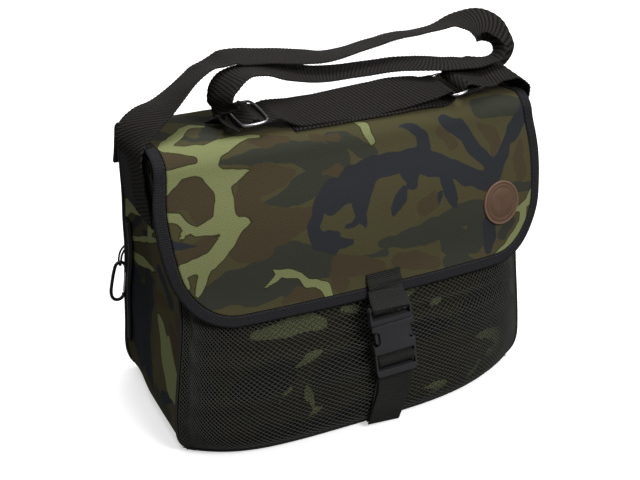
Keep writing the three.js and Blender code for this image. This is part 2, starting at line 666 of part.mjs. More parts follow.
// Webbing from the bottom seam, up behind the buckle, over its middle bar and down in front as a tail
function closure_strap() {
  const across = on_buckle(1, 0, 0).sub(on_buckle(0, 0, 0));
  const straight = V(1, 0, 0);
  const seam_x = 6;
  const rise = on_buckle(0, 0, female_low).z;
  const seat = (z) => front_face(0, z) - pocket_stand(0, z) - pocket_cloth / 2 - play - 0.4 - closure_thick / 2;
  const low_seat = front_face(0, 4) - pocket_stand(0, pocket_bottom) - 3.3;
  const round = (buckle_bar + buckle_slot) / 2;
  const front = -bar_front - closure_thick / 2 - 0.5;
  const rear = bar_rear + closure_thick / 2 + 1.5;
  const layer = closure_thick + 0.5;
  const at_bar = (y, turns) => ({ centre: on_buckle(0, y, middle_bar_z + turns * round), across });
  const stations = [
    { centre: V(seam_x, low_seat, 4.4), across: straight },
    { centre: V(seam_x + 1, seat(0.33 * rise) - 0.5, 0.33 * rise), across: straight },
    { centre: V(seam_x + 6, seat(0.7 * rise), 0.7 * rise), across: straight },
    at_bar(rear + layer + 0.3, -3.2), at_bar(rear + layer + 0.2, -1.5), at_bar(rear + 0.8 * layer, -0.4),
    at_bar(rear + 0.7, 0.5), at_bar(0.3 * rear, 1.02), at_bar(0.4 * front, 1.05), at_bar(0.85 * front, 0.72),
    at_bar(1.03 * front, 0), at_bar(0.85 * front, -0.72), at_bar(0.4 * front, -1.02), at_bar(0.5 * rear, -1.05),
    at_bar(rear, -1.6), at_bar(rear, -3.2),
    { centre: V(seam_x + 7, seat(0.62 * rise) - layer - 1.4, 0.62 * rise), across: straight },
    { centre: V(seam_x + 1, seat(0.33 * rise) - layer - 1.2, 0.33 * rise), across: straight },
    { centre: V(seam_x - 1, low_seat - 2 * layer, 3.4), across: straight },
  ];
  return ribbon(stations, closure_width, closure_thick);
}

// The flap's tab: sewn on the flap, round the male part's bar and back up
function closure_tab() {
  const across = on_buckle(1, 0, 0).sub(on_buckle(0, 0, 0));
  const top_bar = female_top + gap + male_length - buckle_bar / 2;
  const bar_half = (buckle_thick - 3) / 2;
  const seat = (along) => {
    const x = buckle_x - tab_shift - flap_shift;
    return flap_point(x, along).addScaledVector(flap_normal(x, along), flap_cloth / 2 + gap + closure_thick);
  };
  const edge = (along) => seat(along).addScaledVector(flap_normal(0, along), binding_thick / 2 - flap_cloth / 2 + 0.8);
  const stations = [
    { centre: seat(flap_length - tab_sewn), across: V(1, 0, 0) },
    { centre: seat(flap_length - 0.7 * tab_sewn), across: V(1, 0, 0) },
    { centre: edge(flap_length - binding_width), across: V(1, 0, 0) },
    { centre: edge(flap_length - 2), across: V(1, 0, 0) },
    { centre: on_buckle(0, -bar_half - 3.0, top_bar + 4.4), across },
    { centre: on_buckle(0, -bar_half - 2.3, top_bar), across },
    { centre: on_buckle(0, -bar_half + 0.4, top_bar - 3.6), across },
    { centre: on_buckle(0, bar_half - 0.4, top_bar - 3.6), across },
    { centre: on_buckle(0, bar_half + 1.3, top_bar), across },
    { centre: on_buckle(0, bar_half + 1.0, top_bar + 4.5), across },
  ];
  return ribbon(stations, closure_width, closure_thick);
}

function leather_badge() {
  const along = flap_length - badge_drop * 0.62;
  const x = badge_x - flap_shift;
  const normal = flap_normal(x, along);
  const centre = flap_point(x, along).addScaledVector(normal, flap_cloth / 2 + gap + badge_thick / 2);
  const disc = new THREE.CylinderGeometry(badge_radius, badge_radius, badge_thick, 32);
  disc.applyQuaternion(new THREE.Quaternion().setFromUnitVectors(V(0, 1, 0), normal));
  return disc.translate(centre.x, centre.y, centre.z);
}

// The snap hook hangs in a plane across the bag, its gate on the side of the bag
const hook_y = back_face(-1, hook_top) + hook_out;
const hook_x = -half_width(hook_top) - hook_width / 2 - hook_radius - hook_stand;
const gate_low = -0.80 * hook_length;
const gate_high = -0.26 * hook_length;
const hook_right = hook_width / 2;

function on_hook(x, z) {
  const lean = THREE.MathUtils.degToRad(9);
  return V(hook_x + x * Math.cos(lean) + z * Math.sin(lean), hook_y, hook_top + z * Math.cos(lean) - x * Math.sin(lean));
}

function hook_body() {
  const h = hook_length;
  const r = hook_right;
  return tube([
    on_hook(r, gate_high + 0.5), on_hook(r, -0.17 * h), on_hook(0.62 * r, -0.04 * h), on_hook(0, 0), on_hook(-0.55 * r, -0.05 * h),
    on_hook(-0.8 * r, -0.2 * h), on_hook(-r, -0.55 * h), on_hook(-0.98 * r, -0.83 * h), on_hook(-0.55 * r, -0.97 * h),
    on_hook(0.2 * r, -h), on_hook(0.85 * r, -0.93 * h), on_hook(r, gate_low - 0.7),
  ], hook_radius, 8, 36);
}

function hook_gate() {
  return tube([on_hook(hook_right, gate_low), on_hook(hook_right, gate_high)], gate_radius, 8, 4);
}

function hook_cord() {
  const rise = 22;
  const z = hook_top + rise;
  const seam = V(-0.97 * half_width(z), back_face(-0.97, z) + cord_radius + gap, z);
  const top = on_hook(0, hook_radius + cord_radius + gap);
  const low = on_hook(0, -hook_radius - cord_radius - gap);
  const apart = hook_radius + cord_radius + gap;
  const leg = (side) => [
    seam.clone().add(V(0, 2 + side * 1.5, 0)),
    V(-half_width(z) - 4, hook_y + side * 2.2, z - 0.15 * rise),
    V(top.x + 1.5, hook_y + side * apart, top.z + 0.3 * rise),
    V(low.x, hook_y + 0.9 * side * apart, low.z + 1.4),
  ];
  return tube([...leg(-1), V(low.x, hook_y, low.z), ...leg(1).reverse()], cord_radius, 6, 36);
}

function rear_zip() {
  const surface = (u, v) => {
    const z = zip_bottom + v * (zip_top - zip_bottom);
    const y = back_face(-1, z) - 6 - u * zip_width;
    return V(-half_width(z) - play - zip_thick / 2, y, z);
  };
  return sheet(surface, [0, 1], range(9, 0, 1), zip_thick);
}

add('body_shell', body(), camouflage);
add('flap', flap(), camouflage);
add('flap_binding', flap_binding(), black_cloth);
add('net_pocket', net_pocket(), black_net);
add('pocket_hem', pocket_hem(), black_cloth);
add('front_piping', piping(front_face, -1), black_cloth);
add('back_piping', piping(back_face, 1), black_cloth);
add('anchor_patch_left', anchor_patch(-1), black_cloth);
add('anchor_patch_right', anchor_patch(1), black_cloth);
add('shoulder_strap_long', ribbon(long_stations, strap_width, strap_thick), black_webbing);
add('shoulder_strap_short', ribbon(short_stations, strap_width, strap_thick), black_webbing);
add('strap_slider', wire_frame(slider_place, frame_inside, slider_length, true), dark_steel);
add('strap_ring', wire_frame(ring_place, frame_inside, ring_length, false), dark_steel);
add('closure_tab', closure_tab(), black_webbing);
add('closure_strap', closure_strap(), black_webbing);
add('buckle_male', buckle_male(), black_plastic);
add('buckle_female', buckle_female(), black_plastic);
add('leather_badge', leather_badge(), brown_leather);
add('rear_zip', rear_zip(), black_cloth);
add('hook_body', hook_body(), dark_steel);
add('hook_gate', hook_gate(), bright_steel);
add('hook_cord', hook_cord(), black_webbing);

export default bag;
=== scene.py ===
# %% [markdown]
# # A shoulder bag for training dummies
# This lesson dresses a ready frame: a set of plain solids that say where each piece of the bag lies.
# We keep the frame as it is, read the places of things from it, and build the cloth, webbing, net,
# leather, plastic and wire that one would see.

# %% The frame and the tools
import json
import math

import bmesh
import bpy
from mathutils import Matrix, Vector, noise
from mathutils.bvhtree import BVHTree

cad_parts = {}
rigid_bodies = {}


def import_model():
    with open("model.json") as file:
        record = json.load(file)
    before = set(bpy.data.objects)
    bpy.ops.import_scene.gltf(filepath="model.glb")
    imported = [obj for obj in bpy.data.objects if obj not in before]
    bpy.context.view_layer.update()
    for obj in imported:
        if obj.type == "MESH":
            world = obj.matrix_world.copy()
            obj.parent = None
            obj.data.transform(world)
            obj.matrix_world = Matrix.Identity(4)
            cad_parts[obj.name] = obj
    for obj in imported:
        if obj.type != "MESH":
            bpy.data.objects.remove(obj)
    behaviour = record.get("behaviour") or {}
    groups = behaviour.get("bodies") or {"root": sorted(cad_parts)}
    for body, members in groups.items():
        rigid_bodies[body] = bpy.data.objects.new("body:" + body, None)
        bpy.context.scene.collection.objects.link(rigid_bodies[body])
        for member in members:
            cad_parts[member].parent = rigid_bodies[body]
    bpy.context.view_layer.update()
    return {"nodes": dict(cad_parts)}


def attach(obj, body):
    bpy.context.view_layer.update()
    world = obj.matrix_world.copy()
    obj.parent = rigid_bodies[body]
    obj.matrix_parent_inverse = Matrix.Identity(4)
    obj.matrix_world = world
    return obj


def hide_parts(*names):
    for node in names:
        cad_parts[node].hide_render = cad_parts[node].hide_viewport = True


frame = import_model()
nodes = frame["nodes"]
mm = 0.001
print("nodes in the frame:", len(nodes))

# %% [markdown]
# ## The camera
# The bag was photographed from a little above and a little to the left, with a long lens. A camera in
# Blender looks down its own -Z, so it is tilted up from there and then turned about Z. Its lens was found
# in pixels of the picture, and a lens in millimetres is that share of the sensor's width.

# %% The camera
camera_place = Vector((-0.462, -0.945, 0.665))
camera_tilt = math.radians(64)
camera_turn = math.radians(-26)
sensor_width = 36
picture_width = 640
focal_length_in_pixels = 1091

lens = bpy.data.cameras.new("camera")
lens.sensor_width = sensor_width
lens.lens = sensor_width * focal_length_in_pixels / picture_width
camera = bpy.data.objects.new("camera", lens)
camera.location = camera_place
camera.rotation_euler = (camera_tilt, 0, camera_turn)
bpy.context.scene.collection.objects.link(camera)
bpy.context.scene.camera = camera
print("lens:", round(lens.lens, 1), "mm")

# %% [markdown]
# ## The lamps
# A studio shot on white: an even surround and two large soft lamps. The bag's left side lies in deep shade
# while its top and front are lit, so the key stands to the right in front, high up, and a second lamp hangs
# above. A weak third one behind the bag is for views from there.

# %% The lamps
scene = bpy.context.scene
scene.view_settings.view_transform = "Standard"

surround_strength = 0.27
white = (1, 1, 1, 1)
world = bpy.data.worlds.new("surround")
world.use_nodes = True
world.node_tree.nodes["Background"].inputs["Color"].default_value = white
world.node_tree.nodes["Background"].inputs["Strength"].default_value = surround_strength
scene.world = world


def lamp(name, place, target, size, power):
    """A round soft lamp, so many metres across and so many watts, turned to its target."""
    light = bpy.data.lights.new(name, "AREA")
    light.shape = "DISK"
    light.size = size
    light.energy = power
    made = bpy.data.objects.new(name, light)
    made.location = place
    made.rotation_euler = (Vector(target) - Vector(place)).to_track_quat("-Z", "Y").to_euler()
    scene.collection.objects.link(made)


bag_middle = (0, 0, 0.18)
lamp("key", (0.6, -1.8, 1.7), bag_middle, 1.1, 41)
lamp("top", (0.1, 0.2, 2.2), bag_middle, 1.6, 34)
lamp("back", (0.4, 2.0, 0.7), bag_middle, 1.4, 9)
print("lamps:", len(bpy.data.lights))

# %% [markdown]
# ## Floor and backdrop
# The floor glows a little, as white paper does under studio lamps, and takes the bag's shadow. It throws no
# light back, or it would lift the dark side. The white all round is a large dome, which only the camera sees.

# %% Floor and backdrop
floor_white = (0.9, 0.9, 0.9, 1)
black = (0, 0, 0, 1)
floor_radius = 6
dome_radius = 6.5
floor_glow = 0.5
dome_glow = 0.97


def studio_surface(name, shape, colour, rough, glow):
    """A surface of the studio that gives off white light of its own to the camera, but none to the bag."""
    data = bpy.data.meshes.new(name)
    shape.to_mesh(data)
    shape.free()
    surface_paint = bpy.data.materials.new(name + "_paint")
    surface_paint.use_nodes = True
    shader = surface_paint.node_tree.nodes["Principled BSDF"]
    shader.inputs["Base Color"].default_value = colour
    shader.inputs["Roughness"].default_value = rough
    shader.inputs["Emission Color"].default_value = white
    shader.inputs["Emission Strength"].default_value = glow
    data.materials.append(surface_paint)
    made = bpy.data.objects.new(name, data)
    scene.collection.objects.link(made)
    made.visible_diffuse = False
    made.visible_glossy = False
    return made


floor_shape = bmesh.new()
bmesh.ops.create_circle(floor_shape, cap_ends=True, segments=64, radius=floor_radius)
floor = studio_surface("floor", floor_shape, floor_white, 0.9, floor_glow)

dome_shape = bmesh.new()
bmesh.ops.create_uvsphere(dome_shape, u_segments=48, v_segments=24, radius=dome_radius)
bmesh.ops.reverse_faces(dome_shape, faces=dome_shape.faces)
backdrop = studio_surface("backdrop", dome_shape, black, 0.5, dome_glow)
backdrop.data.shade_smooth()
backdrop.visible_shadow = False
print("floor and backdrop:", floor_radius, "and", dome_radius, "m")

# %% [markdown]
# ## Reading the frame
# Most solids of the frame are lofts: rings of corners joined one to the next. If we know the corners of
# each ring in order, we know the route of a strap, or the shape of the bag at each height. A loft has a
# pole at each end, a corner that touches a whole ring, so we start there and walk from ring to ring.

# %% Rings of a loft
def merged(node):
    shape = bmesh.new()
    shape.from_mesh(nodes[node].data)
    bmesh.ops.remove_doubles(shape, verts=shape.verts, dist=1e-6)
    return shape


def touching(corner):
    return {edge.other_vert(corner) for edge in corner.link_edges}


def rings_of(node, count, first):
    """The rings of a loft with so many corners to a ring, from the pole where first(place) is least."""
    shape = merged(node)
    edges_beside_pole = 5
    poles = [v for v in shape.verts if len(v.link_edges) == count
             and all(len(n.link_edges) == edges_beside_pole for n in touching(v))]
    pole = min(poles, key=lambda v: first(v.co))
    around = touching(pole)
    ring = [min(around, key=lambda v: tuple(v.co))]
    around.remove(ring[0])
    while around:
        step = min(around & touching(ring[-1]), key=lambda v: tuple(v.co))
        around.remove(step)
        ring.append(step)
    rings = [ring]
    seen = {pole, *ring}
    while True:
        ahead = [touching(v) - seen for v in rings[-1]]
        if len(ahead[0]) < 2:
            break
        found = []
        for side in (-1, 1):
            shared = [ahead[i] & ahead[(i + side) % count] for i in range(count)]
            if all(len(s) == 1 for s in shared):
                found.append([s.pop() for s in shared])
        ring = min(found, key=lambda r: sum((a.co - b.co).length for a, b in zip(rings[-1], r)))
        seen.update(ring)
        rings.append(ring)
    places = [[v.co.copy() for v in ring] for ring in rings]
    shape.free()
    return places


def through(points, t):
    """A smooth curve through points; t counts from 0 at the first to one less than their number."""
    last = len(points) - 1
    k = min(max(int(t), 0), last - 1)
    f = t - k
    a, b, c, d = (points[min(max(k + i, 0), last)] for i in (-1, 0, 1, 2))
    bend = 2 * a - 5 * b + 4 * c - d
    twist = 3 * b - a - 3 * c + d
    return 0.5 * (2 * b + (c - a) * f + bend * f ** 2 + twist * f ** 3)


# %% [markdown]
# ## Making pieces
# A cloth piece starts as a flat grid, like cloth on a cutting table. Each corner of the grid is then moved
# to its place on the bag, and its UV map keeps where it was on the table, in metres, so that a weave or a
# print runs with the cloth and not with the room.

# %% Helpers for pieces
def drawn_grid(columns, rows, place, flat):
    """A grid whose corners go to place(s, t), with flat(s, t) in its UV map; s and t run from 0 to 1."""
    shape = bmesh.new()
    bmesh.ops.create_grid(shape, x_segments=columns, y_segments=rows, size=0.5)
    cloth = shape.loops.layers.uv.new("cloth")
    for face in shape.faces:
        for loop in face.loops:
            loop[cloth].uv = flat(loop.vert.co.x + 0.5, loop.vert.co.y + 0.5)
    for vert in shape.verts:
        vert.co = place(vert.co.x + 0.5, vert.co.y + 0.5)
    return shape


def piece(name, shape, looks, stands_for=(), body="bag"):
    data = bpy.data.meshes.new(name)
    shape.to_mesh(data)
    shape.free()
    data.shade_smooth()
    for look in looks:
        data.materials.append(look)
    made = bpy.data.objects.new(name, data)
    scene.collection.objects.link(made)
    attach(made, body)
    if stands_for:
        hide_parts(*stands_for)
    print(name, "faces:", len(data.polygons))
    return made


def thicken(made, thickness, offset=0.0, inner_look=0):
    shell = made.modifiers.new("thickness", "SOLIDIFY")
    shell.thickness = thickness
    shell.offset = offset
    shell.material_offset = inner_look
    shell.use_even_offset = True


def rounded(made, levels):
    smooth = made.modifiers.new("round", "SUBSURF")
    smooth.levels = levels
    smooth.render_levels = levels


def wave(place, size, seed=0.0):
    """A smooth random height from about -1 to 1, with humps of about this size, in metres."""
    return noise.noise(place / size + Vector((seed, 2.3 * seed, -seed)))


def fade(value, low, high):
    """0 below low, 1 above high, and smooth between them."""
    t = min(1.0, max(0.0, (value - low) / (high - low)))
    return t * t * (3 - 2 * t)


# %% [markdown]
# ## Colours
# Colours are given as a painter would read them, 0 to 255 a channel, and turned into the linear values
# that a renderer adds and multiplies.

# %% Colours and a short way to write nodes
def paint(red, green, blue):
    return tuple(((c / 255) ** 2.2) for c in (red, green, blue)) + (1.0,)


def look(name, rough, **sockets):
    """A new material with one shader, ready for its nodes."""
    made = bpy.data.materials.new(name)
    made.use_nodes = True
    shader = made.node_tree.nodes["Principled BSDF"]
    shader.inputs["Roughness"].default_value = rough
    for socket, value in sockets.items():
        shader.inputs[socket.replace("_", " ")].default_value = value
    return made, made.node_tree, shader


def put(tree, kind, settings=None, **inputs):
    """Adds a node; an input is a number, a colour or another node's output, named with _ for a space."""
    made = tree.nodes.new("ShaderNode" + kind)
    for key, value in (settings or {}).items():
        setattr(made, key, value)
    for key, value in inputs.items():
        name = key.replace("_", " ")
        socket = made.inputs[int(key[1:])] if key[0] == "i" and key[1:].isdigit() else made.inputs[name]
        if isinstance(value, bpy.types.NodeSocket):
            tree.links.new(value, socket)
        else:
            socket.default_value = value
    return made


def maths(tree, operation, *values):
    inputs = {"i%d" % k: value for k, value in enumerate(values)}
    return put(tree, "Math", {"operation": operation}, **inputs).outputs[0]


def mixed(tree, share, first, second):
    made = put(tree, "Mix", {"data_type": "RGBA"})
    for socket, value in ((made.inputs[0], share), (made.inputs[6], first), (made.inputs[7], second)):
        if isinstance(value, bpy.types.NodeSocket):
            tree.links.new(value, socket)
        else:
            socket.default_value = value
    return made.outputs[2]


def bumped(tree, shader, height, strength, distance):
    made = put(tree, "Bump", Height=height, Strength=strength, Distance=distance)
    tree.links.new(made.outputs["Normal"], shader.inputs["Normal"])


# %% [markdown]
# ## Camouflage cloth
# A printed woodland pattern has flat colours with crisp, lobed edges: a dull green ground, brown and
# grey-green fields, near-black limbs and a few bright leaf-green patches. The big patches are laid as strokes
# that swell and taper, and each cloth piece keeps the distance to the nearest stroke as an
# attribute in millimetres. The material adds a little noise to that distance and colours what is below 0.

# %% Camouflage material
ground_green = paint(73, 71, 50)
ground_brown = paint(72, 67, 50)
layer_colours = {
    "moss": paint(56, 57, 50),
    "bark": paint(69, 62, 48),
    "night": paint(48, 50, 53),
    "leaf": paint(117, 122, 84),
}
layers = tuple(layer_colours)
# In millimetres: how far noise moves a layer's edges, the leaf's dark rim and how soft the print is there
ragged_by = {"moss": 5.0, "bark": 5.0, "night": 4.5, "leaf": 3.0}
rim_width = 1.1
soft_edge = 0.3
# Each layer takes its noise from a place of its own, so their edges don't run side by side
noise_shift = {"moss": 3.0, "bark": 11.0, "night": 23.0, "leaf": 37.0}
leaf_rim = paint(48, 48, 30)
# Painted shade is softer on the leaf patches: the painted shade share is raised to this power for them
leaf_painted_shade_power = 0.25
weave_scale = 190.0


def scaled(tree, colour, share):
    """A colour made brighter or darker by a share."""
    return put(tree, "VectorMath", {"operation": "SCALE"}, i0=colour, Scale=share).outputs[0]


def ranged(tree, value, low, high, at_low, at_high):
    """A value turned into another: at_low for low, at_high for high, and evenly between them."""
    return put(tree, "MapRange", Value=value, i1=low, i2=high, i3=at_low, i4=at_high).outputs[0]


def yarns(tree, cloth, direction, scale, distortion):
    """Fine bands across one direction of the cloth, for the bump of a weave."""
    return put(tree, "TexWave", {"bands_direction": direction}, Vector=cloth, Scale=scale,
               Distortion=distortion).outputs["Fac"]


def camouflage():
    """Layer on layer of print, darkened by painted shade: a share on each corner, which dims the leaf patches
    less.
    """
    made, tree, shader = look("camouflage_cloth", 0.95, Specular_IOR_Level=0.06)
    cloth = put(tree, "UVMap", {"uv_map": "cloth"}).outputs[0]
    wide = put(tree, "TexNoise", Vector=cloth, Scale=9.0, Detail=1.0).outputs["Fac"]
    colour = mixed(tree, wide, ground_green, ground_brown)
    painted_shade_share = put(tree, "Attribute", {"attribute_name": "painted_shade_share"}).outputs["Fac"]
    for name in layers:
        tint = layer_colours[name]
        shift = (noise_shift[name], -noise_shift[name], 0)
        place = put(tree, "VectorMath", {"operation": "ADD"}, i0=cloth, i1=shift).outputs[0]
        edge = put(tree, "TexNoise", Vector=place, Scale=48.0, Detail=1.2, Roughness=0.45).outputs["Fac"]
        away = put(tree, "Attribute", {"attribute_name": name}).outputs["Fac"]
        loose = maths(tree, "MULTIPLY_ADD", maths(tree, "SUBTRACT", edge, 0.5), 2 * ragged_by[name], away)
        share = ranged(tree, loose, soft_edge, -soft_edge, 0.0, 1.0)
        if name == "leaf":
            near = ranged(tree, loose, rim_width + soft_edge, rim_width - soft_edge, 0.0, 0.7)
            # Painted shade: the colour so far is darkened by the painted shade share, and the leaf patches
            # less
            colour = scaled(tree, mixed(tree, near, colour, leaf_rim), painted_shade_share)
            tint = scaled(tree, tint[:3], maths(tree, "POWER", painted_shade_share, leaf_painted_shade_power))
        colour = mixed(tree, share, colour, tint)
    fleck = put(tree, "TexNoise", Vector=cloth, Scale=900.0, Detail=2.0).outputs["Fac"]
    shaded = scaled(tree, colour, ranged(tree, fleck, 0.3, 0.7, 0.86, 1.12))
    tree.links.new(shaded, shader.inputs["Base Color"])
    warp = yarns(tree, cloth, "X", weave_scale, 1.0)
    weft = yarns(tree, cloth, "Y", weave_scale, 1.0)
    bumped(tree, shader, maths(tree, "ADD", warp, weft), 0.35, 0.0003)
    return made


camouflage_cloth = camouflage()
lining = look("lining_cloth", 0.9, Base_Color=paint(24, 24, 25), Specular_IOR_Level=0.06)[0]
print("layers of print:", ", ".join(layers))

# %% [markdown]
# The patches are strokes on the flat cloth, in millimetres. On the flap they are (across, along from the
# back seam), on the front panel (across, height) and on the left side (depth, height). The third number of
# each point is half the stroke's width there, so a stroke can end in a point, as the lobes of the print do.

# %% Patches laid as strokes
flap_patches = {
    "leaf": [
        [(-132, 105, 1), (-144, 97, 3), (-153, 102, 5), (-164, 118, 5.5), (-177, 131, 7.5), (-186, 146, 6)],
        [(-178, 148, 6), (-169, 153, 5), (-158, 156, 6.5), (-151, 163, 9)],
        [(-96, 153, 1), (-106, 150, 3), (-120, 151, 6.5), (-133, 154, 9), (-144, 160, 9), (-153, 173, 9.5)],
        [(-198, 184, 10), (-190, 180, 9), (-180, 176, 6), (-167, 175, 5.5), (-154, 176, 8)],
        [(-113, 183, 0.5), (-123, 185, 4), (-132, 186, 7.5), (-143, 188, 10.5)],
        [(-149, 182, 10), (-142, 196, 7.5), (-142, 208, 8.5), (-144, 221, 10), (-141, 229, 9)],
        [(-198, 215, 5), (-188, 217, 5), (-182, 224, 4.5), (-173, 232, 3.5), (-160, 230, 6), (-150, 228, 8)],
        [(-182, 230, 3.5), (-188, 237, 0.5)],
        [(-119, 231, 1), (-126, 231, 5), (-135, 233, 8.5), (-140, 239, 7.5)],
        [(-139, 238, 8), (-144, 246, 7.5), (-152, 254, 8), (-162, 261, 8), (-174, 264, 7.5), (-188, 266, 7)],
        [(-169, 266, 6.5), (-173, 280, 4.5), (-178, 293, 2)], [(-192, 268, 5.5), (-187, 283, 2.5)],
        [(-113, 297, 1), (-103, 291, 2.5), (-97, 286, 3.5), (-105, 280, 1)],
        [(-98, 285, 3), (-88, 288, 3.5), (-77, 292, 3.5), (-70, 301, 4), (-61, 303, 4), (-53, 308, 5),
         (-49, 318, 4.5), (-44, 322, 2)],
        [(4, 155, 1), (11, 160, 3.5), (11, 169, 4.5), (14, 176, 4), (14, 181, 1)],
        [(200, 262, 1), (195, 273, 4), (185, 278, 5), (174, 278, 2)],
        [(188, 278, 5), (187, 293, 4.5), (178, 305, 5), (165, 314, 5), (152, 320, 4), (138, 324, 1)],
        [(26, 320, 1.5), (37, 322, 1.5)],
        [(-150, 12, 2), (-122, 24, 7), (-90, 30, 8), (-64, 20, 3)],
        [(22, 34, 1), (52, 24, 8), (84, 30, 6), (96, 42, 2)],
        [(140, 8, 3), (160, 22, 8), (186, 26, 5)],
    ],
    "night": [
        [(-40, 6, 5), (-22, 28, 9), (4, 22, 8), (16, 6, 4)], [(104, 10, 3), (118, 30, 7), (144, 40, 6)],
        [(-186, 30, 7), (-160, 44, 8), (-136, 42, 3)],
        [(-197, 240, 5), (-187, 243, 4.5), (-173, 246, 1.5)],
        [(-33, 212, 9), (-50, 230, 7), (-59, 247, 6.5), (-55, 262, 7.5), (-41, 271, 7.5)],
        [(-45, 256, 3.5), (-34, 258, 2.5)], [(-59, 266, 3.5), (-47, 273, 1)],
        [(-39, 231, 9), (-27, 220, 13.5), (-7, 211, 15), (15, 202, 12), (39, 201, 10), (63, 202, 13),
         (78, 211, 13), (98, 218, 9), (120, 231, 10), (144, 241, 10)],
        [(46, 166, 2), (60, 170, 4.5), (70, 179, 6), (71, 191, 8), (68, 201, 11)],
        [(97, 169, 5), (112, 178, 9), (121, 192, 7.5), (128, 205, 7.5), (140, 217, 7.5), (151, 231, 11)],
        [(151, 230, 9), (162, 218, 7), (170, 204, 6), (180, 194, 9), (191, 182, 7.5), (199, 166, 6)],
        [(-4, 218, 14), (-7, 233, 9.5), (-9, 247, 6), (-18, 253, 3), (-27, 254, 1)],
        [(-7, 247, 5.5), (-3, 263, 1)], [(51, 214, 11), (52, 225, 7.5)],
        [(43, 227, 4), (37, 236, 6), (29, 247, 4), (24, 258, 1)],
        [(91, 228, 7.5), (94, 241, 6), (97, 253, 6), (102, 261, 2)], [(82, 240, 2), (79, 253, 1)],
        [(-47, 260, 7.5), (-33, 268, 6), (-21, 269, 3.5)], [(141, 282, 7.5), (141, 300, 9), (138, 314, 4)],
    ],
    "bark": [
        [(-198, 160, 8), (-188, 162, 8), (-172, 163, 7.5), (-162, 166, 4)],
        [(-196, 200, 12), (-181, 195, 15.5), (-165, 196, 18), (-163, 214, 13), (-168, 226, 4)],
        [(-119, 204, 13), (-108, 195, 15), (-89, 194, 12), (-69, 192, 2)], [(-120, 218, 14), (-106, 228, 10)],
        [(-119, 240, 18), (-96, 240, 18), (-75, 238, 14), (-62, 234, 7)], [(-128, 254, 16), (-112, 260, 11)],
        [(-194, 256, 8), (-178, 253, 8), (-158, 244, 7)], [(-95, 315, 3), (-81, 311, 6.5), (-62, 316, 8)],
        [(-36, 310, 9), (-42, 299, 3)], [(-112, 157, 2), (-94, 159, 6.5), (-72, 161, 3)],
        [(-45, 163, 4.5), (-22, 167, 4.5)], [(-40, 198, 3.5), (-25, 198, 6.5)],
        [(137, 182, 5), (150, 192, 7.5), (155, 202, 7.5), (152, 215, 3)],
        [(188, 204, 2), (184, 225, 8), (187, 241, 8)], [(30, 299, 8), (50, 303, 10), (71, 311, 7)],
        [(-35, 288, 9), (-14, 295, 11), (8, 302, 8)], [(93, 179, 6), (103, 195, 6)],
        [(62, 250, 9), (76, 244, 8)], [(-62, 140, 12), (-10, 128, 14)], [(-110, 4, 9), (-76, 4, 10)],
        [(170, 52, 12), (196, 40, 10)], [(90, 120, 12), (140, 128, 14)], [(20, 60, 14), (60, 50, 10)],
    ],
    "moss": [
        [(-167, 62, 10), (-147, 69, 12), (-129, 85, 12), (-115, 92, 12), (-97, 104, 12), (-72, 124, 8)],
        [(-194, 90, 14), (-178, 110, 10)],
        [(-160, 122, 5), (-154, 138, 5.5), (-141, 136, 8), (-128, 112, 10)],
        [(-146, 172, 1), (-129, 172, 4), (-111, 173, 6.5), (-93, 173, 9), (-68, 175, 11), (-44, 182, 16),
         (-25, 188, 16)],
        [(-119, 217, 1), (-102, 217, 4), (-84, 217, 8), (-66, 211, 13), (-48, 204, 14), (-31, 200, 11)],
        [(-166, 296, 13), (-147, 289, 16), (-124, 292, 22), (-100, 290, 18)],
        [(-105, 274, 11), (-88, 271, 14), (-70, 275, 14), (-52, 286, 14)], [(-87, 302, 11), (-66, 296, 11)],
        [(-29, 167, 7.5), (-12, 172, 7.5), (1, 182, 9), (15, 187, 4)],
        [(12, 277, 4), (35, 278, 9), (63, 278, 12), (89, 272, 14), (111, 266, 12), (129, 264, 7)],
        [(93, 292, 14), (120, 300, 13), (126, 280, 13)], [(-12, 288, 1), (17, 288, 3)],
        [(144, 164, 13), (165, 163, 14), (185, 170, 11)], [(172, 252, 4), (197, 257, 5)],
        [(-44, 269, 9), (-41, 285, 5)], [(87, 314, 7), (105, 315, 10), (118, 324, 6)],
        [(158, 300, 7), (168, 290, 7)],
        [(0, 96, 18), (50, 88, 22), (80, 104, 8)], [(-70, 50, 12), (-30, 52, 12)], [(84, 10, 9), (60, 4, 8)],
    ],
}
left_patches = {
    "leaf": [
        [(62, 212, 4), (26, 217, 6), (-20, 231, 9), (-34, 225, 7), (-8, 203, 3.5)],
        [(46, 176, 2), (8, 190, 3), (-39, 210, 2)],
        [(50, 162, 2), (34, 157, 6.5), (9, 159, 4), (-20, 166, 0.5)],
        [(-19, 122, 1), (-35, 113, 8), (-40, 102, 9), (-50, 90, 13), (-61, 78, 14), (-70, 66, 14)],
        [(-56, 108, 5), (-68, 92, 10), (-82, 76, 12), (-88, 62, 9)],
        [(72, 200, 6), (50, 208, 9), (32, 220, 7)],
    ],
    "night": [
        [(38, 192, 5), (12, 212, 5)], [(60, 188, 6), (50, 198, 6)], [(10, 198, 3), (-20, 205, 2.5)],
        # These two wide limbs on the rear part of the left side are print and painted shade at once: they
        # darken where that side lies in shade
        [(66, 150, 16), (48, 122, 24), (60, 82, 26), (36, 46, 20)],
        [(12, 154, 7), (6, 124, 16), (18, 90, 18), (2, 54, 15), (-14, 30, 5)],
        [(-50, 40, 8), (-72, 54, 6)], [(-60, 150, 8), (-30, 172, 6)],
    ],
    "bark": [
        [(-76, 145, 6), (-89, 128, 7.5), (-83, 110, 5)], [(-62, 124, 8), (-76, 112, 9), (-86, 94, 8)],
        [(-60, 150, 6), (0, 132, 9)], [(20, 70, 10), (-10, 40, 9)],
    ],
    "moss": [[(10, 100, 16), (20, 60, 12)], [(-30, 30, 12), (-60, 26, 10)], [(30, 146, 8), (-10, 150, 4)]],
}
